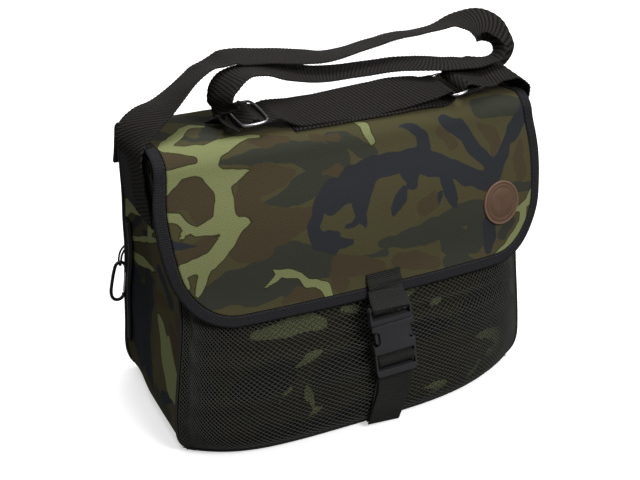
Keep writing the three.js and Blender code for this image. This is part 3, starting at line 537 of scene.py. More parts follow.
front_patches = {
    "leaf": [
        [(-126, 124, 4), (-106, 125, 6.5), (-89, 125, 8.5), (-66, 127, 9.5), (-54, 121, 6)],
        [(-86, 86, 2), (-72, 91, 5.5), (-58, 94, 3)], [(-109, 49, 1), (-103, 58, 2.5), (-92, 65, 3)],
        [(-78, 62, 2), (-75, 51, 5.5), (-70, 39, 2)], [(-80, 27, 1), (-67, 34, 2.5), (-61, 36, 1)],
        [(-32, 132, 2), (-16, 127, 4)],
        [(128, 60, 1), (146, 57, 6), (162, 50, 7), (168, 32, 5), (164, 22, 1)],
        [(150, 33, 5), (170, 24, 1)], [(58, 24, 1), (70, 22, 4), (83, 20, 5), (64, 10, 2)],
        [(116, 10, 1), (126, 20, 4), (136, 32, 2)], [(88, 118, 1), (74, 114, 4), (56, 112, 1)],
        [(16, 120, 2), (36, 128, 6), (60, 140, 4)],
    ],
    "night": [
        [(-184, 144, 10), (-177, 121, 12), (-183, 98, 10)], [(-188, 86, 8), (-172, 72, 8)],
        [(6, 60, 2), (30, 84, 9), (60, 92, 11), (96, 84, 3)], [(-44, 18, 4), (-20, 24, 9), (2, 32, 3)],
    ],
    "bark": [
        [(-197, 28, 5), (-178, 44, 8), (-146, 56, 6)], [(-116, 44, 6), (-83, 43, 10), (-48, 37, 10)],
        [(-48, 116, 5), (-18, 121, 6)], [(104, 34, 12), (66, 52, 6)], [(-156, 130, 12), (-122, 112, 6)],
    ],
    "moss": [
        [(-142, 70, 14), (-104, 82, 18)], [(-60, 70, 12), (-20, 80, 16)], [(118, 88, 16), (162, 110, 20)],
        [(-124, 20, 12), (-60, 15, 10)], [(138, 72, 10), (184, 66, 12)],
    ],
}
for panel, patches in (("flap", flap_patches), ("left side", left_patches), ("front", front_patches)):
    print(panel, "strokes:", sum(len(strokes) for strokes in patches.values()))

# %% [markdown]
# Each piece of cloth needs to know how far every corner of its mesh lies from the nearest stroke. Cloth
# without strokes gets its distance from a broad noise instead: a hill of the noise is a patch, and its
# height over the level stands for the distance.

# %% How far from a patch
far_away = 90.0


def stroke_distance(spot, strokes):
    """How far spot lies outside the nearest stroke, in millimetres; below 0 is inside one."""
    least = far_away
    for stroke in strokes:
        for (ax, ay, thin), (cx, cy, thick) in zip(stroke, stroke[1:]):
            bx, by = cx - ax, cy - ay
            t = ((spot[0] - ax) * bx + (spot[1] - ay) * by) / (bx * bx + by * by)
            t = min(1.0, max(0.0, t))
            away = math.hypot(spot[0] - ax - t * bx, spot[1] - ay - t * by)
            least = min(least, away - thin - t * (thick - thin))
    return least


# For each layer: the level above which the noise is a patch, the size of its hills in mm and a seed
broad_noise = {
    "moss": (0.16, 55, 0.0),
    "bark": (0.14, 48, 7.0),
    "night": (0.07, 40, 13.0),
    "leaf": (0.30, 52, 29.0),
}


def broad_distance(spot, layer):
    """The same from broad noise; night is a limb along the noise's zero line instead of a hill."""
    level, size, seed = broad_noise[layer]
    spread = Vector((spot[0] / size, spot[1] / (0.7 * size), seed))
    height = noise.noise(spread) + 0.35 * noise.noise(2.3 * spread)
    if layer == "night":
        return (abs(height) - level) * size
    return (level - height) * size


def fully_lit(vert):
    return 1.0


def add_patches(made, patches_at, shade_at=fully_lit):
    """Writes the layers on a piece; patches_at(corner) gives its flat spot in mm and its strokes or None."""
    data = made.data
    values = {layer: [] for layer in layers}
    # Painted shade: the share of brightness each corner keeps, from shade_at
    values["painted_shade_share"] = [shade_at(vert) for vert in data.vertices]
    for vert in data.vertices:
        spot, strokes = patches_at(vert)
        for layer in layers:
            found = stroke_distance(spot, strokes[layer]) if strokes else broad_distance(spot, layer)
            values[layer].append(found)
    for layer, numbers in values.items():
        attribute = data.attributes.new(layer, "FLOAT", "POINT")
        attribute.data.foreach_set("value", numbers)
    print(made.name, "corners with print:", len(data.vertices))


# %% [markdown]
# ## The body
# The bag's body is a tall shell of cloth with a flat bottom and an open top. Its rings in the frame have 46
# corners: the front panel, the right side, the back panel and the left side. We turn each ring so that it
# starts at the same corner, where the front panel begins.

# %% The body's rings
front_count = 20
side_count = 6
back_count = 14
ring_count = front_count + 2 * side_count + back_count
body_rings = rings_of("body_shell", ring_count, lambda place: place.z)
rim_ring = max(range(len(body_rings)), key=lambda k: (round(body_rings[k][0].z, 5), -k))
outer_rings = body_rings[:rim_ring + 1]


def find_corner():
    """The corner of each ring where the front panel begins, and which way round the ring runs."""
    ring = outer_rings[len(outer_rings) // 2]
    low_x = min(v.x for v in ring)
    on_left = [k for k in range(ring_count) if ring[k].x < low_x + 1e-5]
    corner = min(on_left, key=lambda k: ring[k].y)
    way = 1 if ring[(corner + 1) % ring_count].x > low_x + 1e-5 else -1
    return corner, way


corner_index, way_round = find_corner()
outer_rings = [[ring[(corner_index + way_round * k) % ring_count] for k in range(ring_count)]
               for ring in outer_rings]
back_right = front_count + side_count
back_left = back_right + back_count
panel_starts = [0, front_count, back_right, back_left, ring_count]
rim_height = outer_rings[-1][0].z
print("rings of the body:", len(outer_rings), "rim at", round(rim_height / mm), "mm")


def body_place(panel, s, row):
    """A point of the shell: a panel's number, the share s across it and the row, counted in rings."""
    start, end = panel_starts[panel], panel_starts[panel + 1]
    t = s * (end - start)
    across = [through([ring[k % ring_count] for k in range(start, end + 1)], t)
              for ring in outer_rings[max(0, int(row) - 1):int(row) + 3]]
    return through(across, row - max(0, int(row) - 1))


# %% [markdown]
# One grid of cloth goes round the rings, from the middle of the bottom up to the rim. It is closed at its
# seam and gets its thickness last. Sewn seams hold the cloth tight, so it puckers only between them.

# %% The body shell
panel_columns = (96, 30, 72, 30)
shell_columns = sum(panel_columns)
bottom_rows = 8
wall_rows = 96
shell_rows = bottom_rows + wall_rows
panel_widths = (0.4, 0.2, 0.4, 0.2)
wrinkle = 1.6 * mm
calm_beside_seam = 0.03
calm_below_rim = 0.02
wide_pucker = 0.055
fine_pucker = 0.028
cloth_thickness = 2 * mm
panel_ways_out = (Vector((0, -1, 0)), Vector((1, 0, 0)), Vector((0, 1, 0)), Vector((-1, 0, 0)))
flat_panel_pitch = 0.9


def panel_at(s):
    """Which panel a share round the shell lies in, and the share across that panel."""
    column = s * shell_columns
    for panel, width in enumerate(panel_columns):
        if column <= width + 1e-6 or panel == 3:
            return panel, min(1.0, column / width)
        column -= width


def shell_place(s, t):
    panel, across = panel_at(s)
    level = t * shell_rows - bottom_rows
    if level <= 0:
        edge = body_place(panel, across, 0)
        return edge * Vector((1, 1, 0)) * (1 + level / bottom_rows) + Vector((0, 0, edge.z))
    row = level / wall_rows * (len(outer_rings) - 1)
    spot = body_place(panel, across, row)
    free = fade(min(across, 1 - across) * panel_widths[panel], 0.0, calm_beside_seam)
    free *= fade(spot.z, 0.0, calm_beside_seam) * fade(rim_height - spot.z, 0.0, calm_below_rim)
    bulge = wave(Vector((spot.x + spot.y, 0, spot.z)), wide_pucker, panel + 1.0)
    bulge += 0.6 * wave(Vector((spot.x + spot.y, 0, 1.6 * spot.z)), fine_pucker, panel + 5.0)
    return spot + panel_ways_out[panel] * wrinkle * (bulge - 0.5) * free


def shell_flat(s, t):
    """The panels lie side by side on the cutting table, so that no two get the same weave and noise."""
    place = shell_place(s, t)
    panel = panel_at(s)[0]
    along = place.x if panel % 2 == 0 else place.y
    return (along + flat_panel_pitch * panel, place.z)


bag_shell = drawn_grid(shell_columns, shell_rows, shell_place, shell_flat)
bmesh.ops.remove_doubles(bag_shell, verts=bag_shell.verts, dist=0.02 * mm)
bmesh.ops.recalc_face_normals(bag_shell, faces=bag_shell.faces)
bag_body = piece("bag_body", bag_shell, [camouflage_cloth, lining], ["body_shell"])
thicken(bag_body, cloth_thickness, -1.0, 1)

# %% [markdown]
# The left side and the front have strokes, the right side and the back get broad noise, taken from places
# of its own. Net and shade swallow more light on the real bag than the lamps here do, so the cloth under
# the net and the rear part of the left side get painted shade: their colour is darkened.

# %% Print and painted shade on the body
right_side_noise = 700
back_noise = 1500
side_from = 0.72
shade_from = 0.6
net_shade = 0.36
side_shade = 0.65


def patches_on_body(vert):
    """The side panels look along X, so their print runs along Y; the others' runs along X."""
    if abs(vert.normal.x) > side_from:
        if vert.normal.x < 0:
            return (vert.co.y / mm, vert.co.z / mm), left_patches
        return (vert.co.y / mm + right_side_noise, vert.co.z / mm), None
    if vert.normal.y < 0:
        return (vert.co.x / mm, vert.co.z / mm), front_patches
    return (vert.co.x / mm + back_noise, vert.co.z / mm), None


def shade_on_body(vert):
    """Painted shade: the share of brightness the cloth keeps, lower under the net and on the rear part of the
    left side.
    """
    if vert.normal.y < -shade_from:
        return net_shade
    if vert.normal.x < -shade_from:
        return 1 - (1 - side_shade) * fade(vert.co.y, -30 * mm, 10 * mm)
    return 1.0


add_patches(bag_body, patches_on_body, shade_on_body)

# %% [markdown]
# ## Sheets of the frame
# The flap, the pocket and the patches are sheets in the frame: two layers of a grid of corners, joined at
# their rims. We keep the outer layer and read its rows of corners, one after the other, so that a finer
# grid can be drawn smoothly through them.

# %% Rows of a sheet
def sheet_rows(node, kept, first, reach=0.1 * mm):
    """Rows of the layer whose faces are kept; the first row is where first(place) is least."""
    shape = merged(node)
    dropped = [face for face in shape.faces if not kept(face)]
    bmesh.ops.delete(shape, geom=dropped, context="FACES")
    least = min(first(v.co) for v in shape.verts)
    group = {v for v in shape.verts if first(v.co) < least + reach}
    rows, seen, last = [], set(), None
    while group:
        ends = [v for v in group if len(touching(v) & group) == 1] or list(group)
        if last is None:
            row = [min(ends, key=lambda v: v.co.x + v.co.y)]
        else:
            row = [min(ends, key=lambda v: (v.co - last.co).length)]
        while True:
            step = [v for v in touching(row[-1]) & group if v not in row]
            if not step:
                break
            row.append(step[0])
        rows.append(row)
        seen.update(row)
        last = row[0]
        group = {n for v in row for n in touching(v)} - seen
    places = [[v.co.copy() for v in row] for row in rows]
    shape.free()
    print(node, "rows:", len(places), "columns:", len(places[0]))
    return places


def on_rows(rows, s, t):
    """The smooth surface through rows of points; s runs along a row and t from row to row."""
    high = t * (len(rows) - 1)
    k = min(int(high), len(rows) - 2)
    near = rows[max(0, k - 1):k + 3]
    across = [through(row, s * (len(row) - 1)) for row in near]
    return through(across, high - max(0, k - 1))


def towards(shape, direction):
    """Turns an open sheet so that its faces look the way of direction."""
    shape.normal_update()
    if sum(face.normal.dot(Vector(direction)) * face.calc_area() for face in shape.faces) < 0:
        bmesh.ops.reverse_faces(shape, faces=shape.faces)


# %% [markdown]
# ## The flap
# The flap is sewn to the back, goes over the top and hangs down the front. Its cloth is printed with the
# same camouflage, and it is stiff enough to hang with a few soft waves. Its place on the pattern is the
# distance along the cloth, so we measure that down the middle of the sheet.

# %% The flap
flap_axis = Vector((0, -0.02, 0.12))
flap_rows = sheet_rows(
    "flap", lambda f: f.normal.dot((f.calc_center_median() - flap_axis) * Vector((0, 1, 1))) > 0.02,
    lambda place: -place.y)
wide_flap_wave = 0.09
fine_flap_wave = 0.04
flap_lift = 1.3 * mm
flap_thickness = 2.4 * mm
middle = len(flap_rows[0]) // 2
flap_along = [0.0]
for upper, lower in zip(flap_rows, flap_rows[1:]):
    flap_along.append(flap_along[-1] + (upper[middle] - lower[middle]).length)
print("flap length:", round(flap_along[-1] / mm), "mm")


def along_flap(t):
    high = t * (len(flap_along) - 1)
    k = min(int(high), len(flap_along) - 2)
    return flap_along[k] + (high - k) * (flap_along[k + 1] - flap_along[k])


def flap_place(s, t):
    spot = on_rows(flap_rows, s, t)
    outward = (spot - flap_axis) * Vector((0, 1, 1))
    calm = fade(min(s, 1 - s), 0.0, 0.06) * fade(1 - t, 0.0, 0.25) * fade(t, 0.0, 0.1)
    flat_spot = Vector((spot.x, 0, along_flap(t)))
    lift = wave(flat_spot, wide_flap_wave, 3.0) + 0.4 * wave(flat_spot, fine_flap_wave)
    return spot + outward.normalized() * (flap_lift * lift * calm)


def flap_flat(s, t):
    return (on_rows(flap_rows, s, t).x, -along_flap(t))


flap_shape = drawn_grid(132, 120, flap_place, flap_flat)
towards(flap_shape, (0, -1, 1))
flap = piece("flap_cloth", flap_shape, [camouflage_cloth, lining], ["flap"])
flap_lengths = {}
for loop, corner in zip(flap.data.loops, flap.data.uv_layers["cloth"].data):
    flap_lengths[loop.vertex_index] = (corner.uv[0] / mm, -corner.uv[1] / mm)
add_patches(flap, lambda vert: (flap_lengths[vert.index], flap_patches))
thicken(flap, flap_thickness, -1.0, 1)

# %% [markdown]
# ## Bands: webbing and binding
# A strap is woven as a narrow band with thick rounded edges. In the frame it is a loft with four corners to
# a ring. We draw a closed band round each ring, with its edges rounded, and raise small ribs across it,
# because on the real strap they show as slanted cross lines. A rib is a cosine of the length along the band.

# %% Bands
def squared(rings):
    """Rings with their corners turned so that the first side runs across the wide way."""
    ring = rings[len(rings) // 2]
    if (ring[1] - ring[0]).length < (ring[2] - ring[1]).length:
        rings = [r[1:] + r[:1] for r in rings]
    return rings


rib_pitch = 4.1 * mm
rib_slant = 0.42
narrow_pitch = 2.2 * mm


def band(rings, rows, rib, columns=12, wander=0.0, pitch=rib_pitch, slant=rib_slant):
    """A closed band with rounded edges round lofted rings of four corners, and ribs across it."""
    rings = squared(rings)
    centres = [sum(ring, Vector()) / 4 for ring in rings]
    lengths = [0.0]
    for a, b in zip(centres, centres[1:]):
        lengths.append(lengths[-1] + (a - b).length)
    thick = (rings[len(rings) // 2][2] - rings[len(rings) // 2][1]).length
    wide = (rings[len(rings) // 2][1] - rings[len(rings) // 2][0]).length
    round_share = 0.5 * thick / wide

    def corner_shares(s):
        """Where a share s round the section lies: across from 0 to 1, and through from -1 to 1."""
        turn = (4 * s) % 4
        flat = columns / (columns + 2)
        side = -1 if turn < 2 else 1
        part = (turn % 2) / 2
        if part < flat:
            across = round_share + (1 - 2 * round_share) * part / flat
            through_it = side
        else:
            angle = math.pi * (part - flat) / (1 - flat)
            across = 1 - round_share + round_share * math.sin(angle)
            through_it = side * math.cos(angle)
        return (across if side < 0 else 1 - across), through_it

    def length_at(t):
        """How far along the band a share t of its rings lies, in metres."""
        high = t * (len(rings) - 1)
        k = min(int(high), len(lengths) - 2)
        return lengths[k] + (high - k) * (lengths[k + 1] - lengths[k])

    def place(s, t):
        high = t * (len(rings) - 1)
        a, b, c, d = (through([ring[k] for ring in rings], high) for k in range(4))
        across, deep = corner_shares(s)
        front, back = a.lerp(b, across), d.lerp(c, across)
        ridge = math.cos(2 * math.pi * (length_at(t) + slant * across * wide) / pitch)
        raised = rib * ridge * (1 if abs(deep) > 0.9 else 0.4)
        share = 0.5 + 0.5 * deep * (1 + raised / (0.5 * thick))
        spot = front.lerp(back, share)
        if wander:
            spot += (d - a).normalized() * wander * wave(Vector((across * wide, length_at(t), 0)), 0.03)
        return spot

    def flat(s, t):
        return (corner_shares(s)[0] * wide, length_at(t))

    shape = drawn_grid(2 * (columns + 4), rows, place, flat)
    bmesh.ops.remove_doubles(shape, verts=shape.verts, dist=0.004 * mm)
    ends = [edge for edge in shape.edges if edge.is_boundary]
    bmesh.ops.holes_fill(shape, edges=ends, sides=0)
    bmesh.ops.recalc_face_normals(shape, faces=shape.faces)
    print("band length:", round(lengths[-1] / mm), "mm, width:", round(wide / mm, 1), "mm")
    return shape


# %% [markdown]
# The look of webbing follows the same ribs: the grooves between them get painted shade, darker than the
# ribs, and a fine bump stands for the yarns. The binding of the flap is the same kind of tape with no ribs in
# its shape.

# %% Webbing and binding
def webbing_look(name, tint, painted_groove_shade=1.0, pitch=rib_pitch, slant=rib_slant):
    """Woven tape; the share after the tint is the painted shade between two ribs: how bright the cloth stays
    there.
    """
    made, tree, shader = look(name, 0.85, Specular_IOR_Level=0.08)
    cloth = put(tree, "UVMap", {"uv_map": "cloth"}).outputs[0]
    fleck = put(tree, "TexNoise", Vector=cloth, Scale=700.0, Detail=2.0).outputs["Fac"]
    light = ranged(tree, fleck, 0.3, 0.7, 0.7, 1.35)
    turns = 2 * math.pi / pitch
    phase = put(tree, "VectorMath", {"operation": "DOT_PRODUCT"}, i0=cloth, i1=(slant * turns, turns, 0))
    # Painted shade: the cloth in the grooves between the ribs is darkened to this share
    depth = ranged(tree, maths(tree, "COSINE", phase.outputs["Value"]), -1.0, 0.4, painted_groove_shade, 1.0)
    shaded = scaled(tree, tint[:3], maths(tree, "MULTIPLY", light, depth))
    tree.links.new(shaded, shader.inputs["Base Color"])
    warp = yarns(tree, cloth, "X", 200.0, 0.6)
    weft = yarns(tree, cloth, "Y", 140.0, 0.6)
    bumped(tree, shader, maths(tree, "ADD", warp, weft), 0.6, 0.0004)
    return made


webbing = webbing_look("black_webbing", paint(45, 43, 41), 0.22)
narrow_webbing = webbing_look("narrow_webbing", paint(45, 45, 44), 0.82, narrow_pitch, 0.0)
binding_cloth = webbing_look("black_binding", paint(41, 41, 43))


def band_piece(name, node, start, rows, rib, material, slot, **shaping):
    """The band in place of a node; start(place) is least at the node's first ring."""
    shape = band(rings_of(node, 4, start), rows, rib, **shaping)
    return piece(name, shape, [material], [node])


strap_rib = 0.3 * mm
band_piece("shoulder_strap", "shoulder_strap_long", lambda p: p.x, 1700, strap_rib, webbing, "black_webbing")
band_piece("short_strap", "shoulder_strap_short", lambda p: p.z, 560, strap_rib, webbing, "black_webbing")
lower_strap = band_piece("closure_webbing", "closure_strap", lambda p: p.z, 300, 0.09 * mm,
                         narrow_webbing, "black_webbing", pitch=narrow_pitch, slant=0.0)
tab = band_piece("closure_tab_webbing", "closure_tab", lambda p: -p.z, 300, 0.12 * mm,
                 narrow_webbing, "black_webbing", pitch=narrow_pitch, slant=0.0)
band_piece("flap_edge", "flap_binding", lambda p: p.x, 700, 0.0, binding_cloth, "black_cloth",
           columns=8, wander=0.25 * mm)

# %% [markdown]
# ## The net pocket
# A net covers the whole front panel. The frame's pocket ends a little inside the panel, so the outermost
# strips of the net run on from there to the seams they are sewn into. The net hangs slack, with small
# waves and a few flat pleats that fall a little from one side to the other.

# %% Where the net lies
def faces_front(face):
    return face.normal.y < -0.5


pocket_rows = sheet_rows("net_pocket", faces_front, lambda place: place.z)
side_strip = 0.03
low_strip = 0.05
seam_lift = 2.4 * mm
low_seam_inset = 0.02
low_seam_lift = Vector((0, -3.4 * mm, 4.2 * mm))
front_seam = [[ring[0], ring[front_count]] for ring in outer_rings]


def seam_place(side, height):
    """The front panel's left (0) or right (1) seam at a height."""
    rows = [pair[side] for pair in front_seam]
    k = max(i for i in range(len(rows) - 1) if rows[i].z <= height or i == 0)
    share = (height - rows[k].z) / (rows[k + 1].z - rows[k].z)
    return through(rows, k + min(1.0, max(0.0, share))) + Vector((0, -seam_lift, 0))


def low_seam(s):
    """The front panel's bottom seam, where the net and its band are sewn in."""
    return body_place(0, low_seam_inset + (1 - 2 * low_seam_inset) * s, 0) + low_seam_lift


fold_depth = 1.2 * mm
fine_fold = 0.016
wide_fold = 0.05
# Each pleat: its height at the middle of the panel in metres, how much it climbs from left to right,
# how many times the fold depth it stands out, and how wide it is in metres
pleats = [(0.146, -0.10, 3.4, 0.006), (0.131, -0.07, 4.2, 0.006), (0.115, -0.10, 3.8, 0.007),
          (0.098, -0.05, 3.4, 0.008), (0.074, 0.06, 2.6, 0.010)]


def pocket_place(s, t):
    """A place of the net: s runs from the left seam to the right one, t from the bottom seam to the hem."""
    inside = min(1.0, max(0.0, (s - side_strip) / (1 - 2 * side_strip)))
    above = max(0.0, (t - low_strip) / (1 - low_strip))
    spot = on_rows(pocket_rows, inside, above)
    if t < low_strip:
        spot = spot.lerp(low_seam(inside), 1 - t / low_strip)
    beside = max(0.0, 1 - s / side_strip, 1 - (1 - s) / side_strip)
    if beside > 0:
        spot = spot.lerp(seam_place(0 if s < 0.5 else 1, spot.z), 0.9 * beside)
    free = fade(min(s, 1 - s), 0.02, 0.09) * fade(t, 0.04, 0.12) * fade(1 - t, 0.0, 0.1)
    fold = wave(Vector((0.22 * spot.x, 0, spot.z - 0.14 * spot.x)), fine_fold, 4.0)
    fold += 0.9 * wave(Vector((spot.x, 0, 0.8 * spot.z)), wide_fold, 9.0)
    drop = 0.0
    for height, climb, depth, width in pleats:
        off = (spot.z - height - climb * spot.x) / width
        stretch = 0.6 + 0.4 * wave(Vector((spot.x, 0, height)), 0.06, 5.0)
        fold += depth * stretch * math.exp(-off * off)
        drop -= 0.7 * depth * stretch * off * math.exp(-off * off)
    return spot + Vector((0, -fold_depth * fold * free, drop * mm * free))


print("pleats:", len(pleats))

# %% [markdown]
# The net is knitted cord, so it is made as real strands: a grid is laid on the pocket, each of its cells
# gets a point in its middle, the old edges go, and what stays is a grid of diamonds. A wireframe then gives
# each edge a square strand.

# %% The strands of the net
net_columns = 84
net_levels = 44
strand = 1.25 * mm
pocket_width = 0.388
pocket_height = 0.185
net_shape = drawn_grid(net_columns, net_levels, pocket_place,
                       lambda s, t: (pocket_width * s, pocket_height * t))
towards(net_shape, (0, -1, 0))
old_edges = list(net_shape.edges)
rim_edges = {e for e in old_edges if e.is_boundary}
bmesh.ops.poke(net_shape, faces=net_shape.faces)
inner_edges = [e for e in old_edges if e.is_valid and e not in rim_edges]
bmesh.ops.dissolve_edges(net_shape, edges=inner_edges, use_verts=False)
bmesh.ops.wireframe(net_shape, faces=net_shape.faces, thickness=strand, use_replace=True, use_boundary=True,
                    use_even_offset=False)
net_cord = look("black_net", 0.8, Base_Color=paint(64, 64, 61), Specular_IOR_Level=0.15)[0]
piece("pocket_net", net_shape, [net_cord], ["net_pocket"])

# %% [markdown]
# Cloth tape is sewn to the net along its mouth, as a hem, and along the bottom seam, where it shows as a
# dark band. Both are flat strips of cloth with a thickness, and so are all the flat pieces that follow.

# %% Flat strips and the net's edges
def strip(name, node, columns, rows, place, size, way_out, thickness, offset=-1.0, material=binding_cloth):
    """A flat strip of cloth of this size on the table; it looks the way of way_out, or as it is drawn."""
    shape = drawn_grid(columns, rows, place, lambda s, t: (size[0] * s, size[1] * t))
    if way_out:
        towards(shape, way_out)
    made = piece(name, shape, [material], [node] if node else ())
    thicken(made, thickness, offset)


hem_rows = sheet_rows("pocket_hem", faces_front, lambda place: place.z, 4 * mm)
strip("pocket_hem_band", "pocket_hem", 160, 8, lambda s, t: on_rows(hem_rows, s, t),
      (pocket_width, 0.013), (0, -1, 0), 1.6 * mm)

low_band_height = 11 * mm
low_band_crown = 1.2 * mm
low_band_lift = 1.5 * mm


def low_band_place(s, t):
    """From the bottom seam up over the net's lowest strands, a little crowned."""
    low = low_seam(s)
    net_top = pocket_place(side_strip + (1 - 2 * side_strip) * s, 0.1) + Vector((0, -low_band_lift, 0))
    share = low_band_height / max(low_band_height, net_top.z - low.z)
    return low.lerp(net_top, share * t) + Vector((0, -low_band_crown * math.sin(math.pi * t), 0))


strip("pocket_low_band", None, 160, 8, low_band_place, (pocket_width, low_band_height), (0, -1, 0), 1.2 * mm)

# %% [markdown]
# ## Rounded copies
# Cord, wire and moulded parts are simple in the frame and lie where they should. For these we take the
# frame's own solid, join its triangles into quads and round it with a subdivision.

# %% Rounded copies and plain finishes
def rounded_copy(node, name, material, levels=2, body="bag"):
    shape = merged(node)
    bmesh.ops.join_triangles(shape, faces=shape.faces, cmp_seam=False, cmp_sharp=False, cmp_uvs=False,
                             cmp_vcols=False, cmp_materials=False, angle_face_threshold=1.0,
                             angle_shape_threshold=3.1)
    bmesh.ops.recalc_face_normals(shape, faces=shape.faces)
    rounded(piece(name, shape, [material], [node], body), levels)


def plain_look(name, tint, rough, **sockets):
    """One colour all over, with a fine grain in its gloss."""
    made, tree, shader = look(name, rough, Base_Color=tint, **sockets)
    place = put(tree, "TexCoord").outputs["Object"]
    fleck = put(tree, "TexNoise", Vector=place, Scale=900.0, Detail=2.0).outputs["Fac"]
    bumped(tree, shader, fleck, 0.15, 0.0002)
    return made


piping_cloth = plain_look("piping_cloth", paint(24, 24, 25), 0.7)
dark_steel = plain_look("dark_steel", paint(52, 52, 55), 0.42, Metallic=0.9)
wire_steel = plain_look("wire_steel", paint(150, 150, 153), 0.3, Metallic=1.0)
bright_steel = plain_look("bright_steel", paint(200, 200, 202), 0.25, Metallic=1.0)
black_plastic = plain_look("black_plastic", paint(53, 53, 55), 0.38, Specular_IOR_Level=0.3)
print("materials so far:", len(bpy.data.materials))

# %% [markdown]
# ## Piping
# Piping is a cord wrapped in a strip of cloth, whose flat edge is sewn into the seam. The cord is in the
# frame. For the strip we follow the body's own seam down one side, along the bottom and up the other side,
# find the nearest place of the cord for each of its corners, and lay cloth between the two.

# %% Piping
piping_seams = {"front_piping": (0, front_count, 1), "back_piping": (back_left, back_right, -1)}
flange_top = 0.95
flange_from = -0.15
flange_to = 1.1


def seam_flange(node, name):
    """The sewn edge of the piping: a strip from the body's seam to the nearest place of the cord."""
    cord = merged(node)
    cord_tree = BVHTree.FromBMesh(cord)
    cord.free()
    left, right, step = piping_seams[node]
    up = [ring for ring in outer_rings if ring[0].z < flange_top * rim_height]
    seam = [ring[left % ring_count] for ring in reversed(up)]
    seam += [outer_rings[0][k % ring_count] for k in range(left + step, right, step)]
    seam += [ring[right % ring_count] for ring in up]
    cords = [cord_tree.find_nearest(spot)[0] for spot in seam]

    def place(s, t):
        high = t * (len(seam) - 1)
        return through(seam, high).lerp(through(cords, high), flange_from + (flange_to - flange_from) * s)

    strip(name, None, 3, 260, place, (0.004, 0.9), None, 1.4 * mm, 0.0, piping_cloth)


for node in piping_seams:
    rounded_copy(node, node + "_cord", piping_cloth)
    seam_flange(node, node + "_flange")

# %% [markdown]
# ## Hook and wire
# A small snap hook hangs from a loop of cord at the back. Its gate is a piece of its own that turns, so it
# rides on the gate's body. The strap's adjuster and its ring are bent wire, with a brighter finish than the
# hook's.

# %% Hook and wire
rounded_copy("hook_cord", "hook_loop", piping_cloth)
rounded_copy("hook_body", "snap_hook", dark_steel)
rounded_copy("hook_gate", "snap_gate", bright_steel, body="gate")
rounded_copy("strap_slider", "slider_wire", wire_steel, 1)
rounded_copy("strap_ring", "ring_wire", bright_steel, 1)

# %% [markdown]
# ## The buckle
# A moulded buckle has small rounded edges everywhere. Its case and its prongs are copies of the frame's
# solids with their flat faces joined and a bevel along their edges. On the real buckle the windows sit
# higher than in the frame, so the parts and the webbing in them are drawn out along the buckle.

# %% The buckle
def bevelled(made, width, segments, angle):
    """A bevel along all edges sharper than the angle, in degrees."""
    bevel = made.modifiers.new("bevel", "BEVEL")
    bevel.width = width
    bevel.segments = segments
    bevel.limit_method = "ANGLE"
    bevel.angle_limit = math.radians(angle)


def bevelled_copy(node, name, material, width):
    shape = merged(node)
    bmesh.ops.dissolve_limit(shape, angle_limit=math.radians(2), verts=shape.verts, edges=shape.edges)
    bmesh.ops.recalc_face_normals(shape, faces=shape.faces)
    made = piece(name, shape, [material], [node])
    bevelled(made, width, 3, 35)
    return made


buckle_case = bevelled_copy("buckle_female", "buckle_case", black_plastic, 0.9 * mm)
buckle_prongs = bevelled_copy("buckle_male", "buckle_prongs", black_plastic, 0.7 * mm)

# %% [markdown]
# Down the buckle, places are shares of the case's length from its top. Each pair says where an edge lies in
# the frame and where it lies on the real buckle, and what lies between two edges is stretched evenly. Then
# the webbing is drawn close round the middle bar, which leaves a dark gap above it and below it.

# %% Drawing the buckle out
buckle_edges = [(-1.2, -1.2), (-0.9, -0.9), (-0.57, -0.62), (-0.19, -0.30), (-0.08, -0.16), (0.0, -0.08),
                (0.25, 0.02), (0.52, 0.30), (0.72, 0.52), (0.91, 0.82), (1.0, 0.97), (1.3, 1.3)]


def drawn_out(share):
    """The share of the real edge for a share of the frame's."""
    if share <= buckle_edges[0][0] or share >= buckle_edges[-1][0]:
        return share
    for (a, b), (c, d) in zip(buckle_edges, buckle_edges[1:]):
        if share <= c:
            return b + (d - b) * (share - a) / (c - a)


case = buckle_case.data
low_faces = sorted((face for face in case.polygons if face.normal.z < -0.9), key=lambda f: f.area)
down = low_faces[-1].normal.copy()
depths = [down.dot(v.co) for v in case.vertices]
case_top, case_length = min(depths), max(depths) - min(depths)
print("buckle case length:", round(case_length / mm, 1), "mm")
for part in (buckle_case, buckle_prongs, tab, lower_strap):
    for vert in part.data.vertices:
        share = (down.dot(vert.co) - case_top) / case_length
        vert.co += down * case_length * (drawn_out(share) - share)

out_of_case = min(case.polygons, key=lambda f: f.normal.y * f.area).normal.copy()
reaches = [out_of_case.dot(v.co) for v in case.vertices]
case_middle = 0.5 * (min(reaches) + max(reaches))
bar_share = 0.67
bar_low = 0.45
bar_high = 0.9
squeeze = 0.42
for vert in lower_strap.data.vertices:
    share = (down.dot(vert.co) - case_top) / case_length
    if bar_low < share < bar_high:
        front = fade(out_of_case.dot(vert.co) - case_middle, -1 * mm, 2 * mm)
        vert.co -= down * case_length * (share - bar_share) * squeeze * front
print("middle bar at", round(bar_share * case_length / mm, 1), "mm down the case")

# %% [markdown]
# ## Anchor patches
# The ends of the shoulder strap are sewn under black panels of cloth at the top of each side, which spread
# the pull over the seam.

# %% Anchor patches
anchor_rows = {}
for side, way in (("left", -1), ("right", 1)):
    rows = sheet_rows("anchor_patch_" + side, lambda f: way * f.normal.x > 0.5, lambda place: place.z)
    anchor_rows[side] = rows
    strip("anchor_" + side, "anchor_patch_" + side, 40, 48, lambda s, t: on_rows(rows, s, t),
          (0.05, 0.07), (way, 0, 0), 1.6 * mm)

# %% [markdown]
# ## The leather patch
# A round patch of brown leather is fixed near the flap's edge. It is cut with a die, so its rim is pressed
# round, and two rings are pressed into its face. Leather is cloudy and grained, and paler where its rim is
# rubbed, so the disc keeps how near each corner is to the rim.

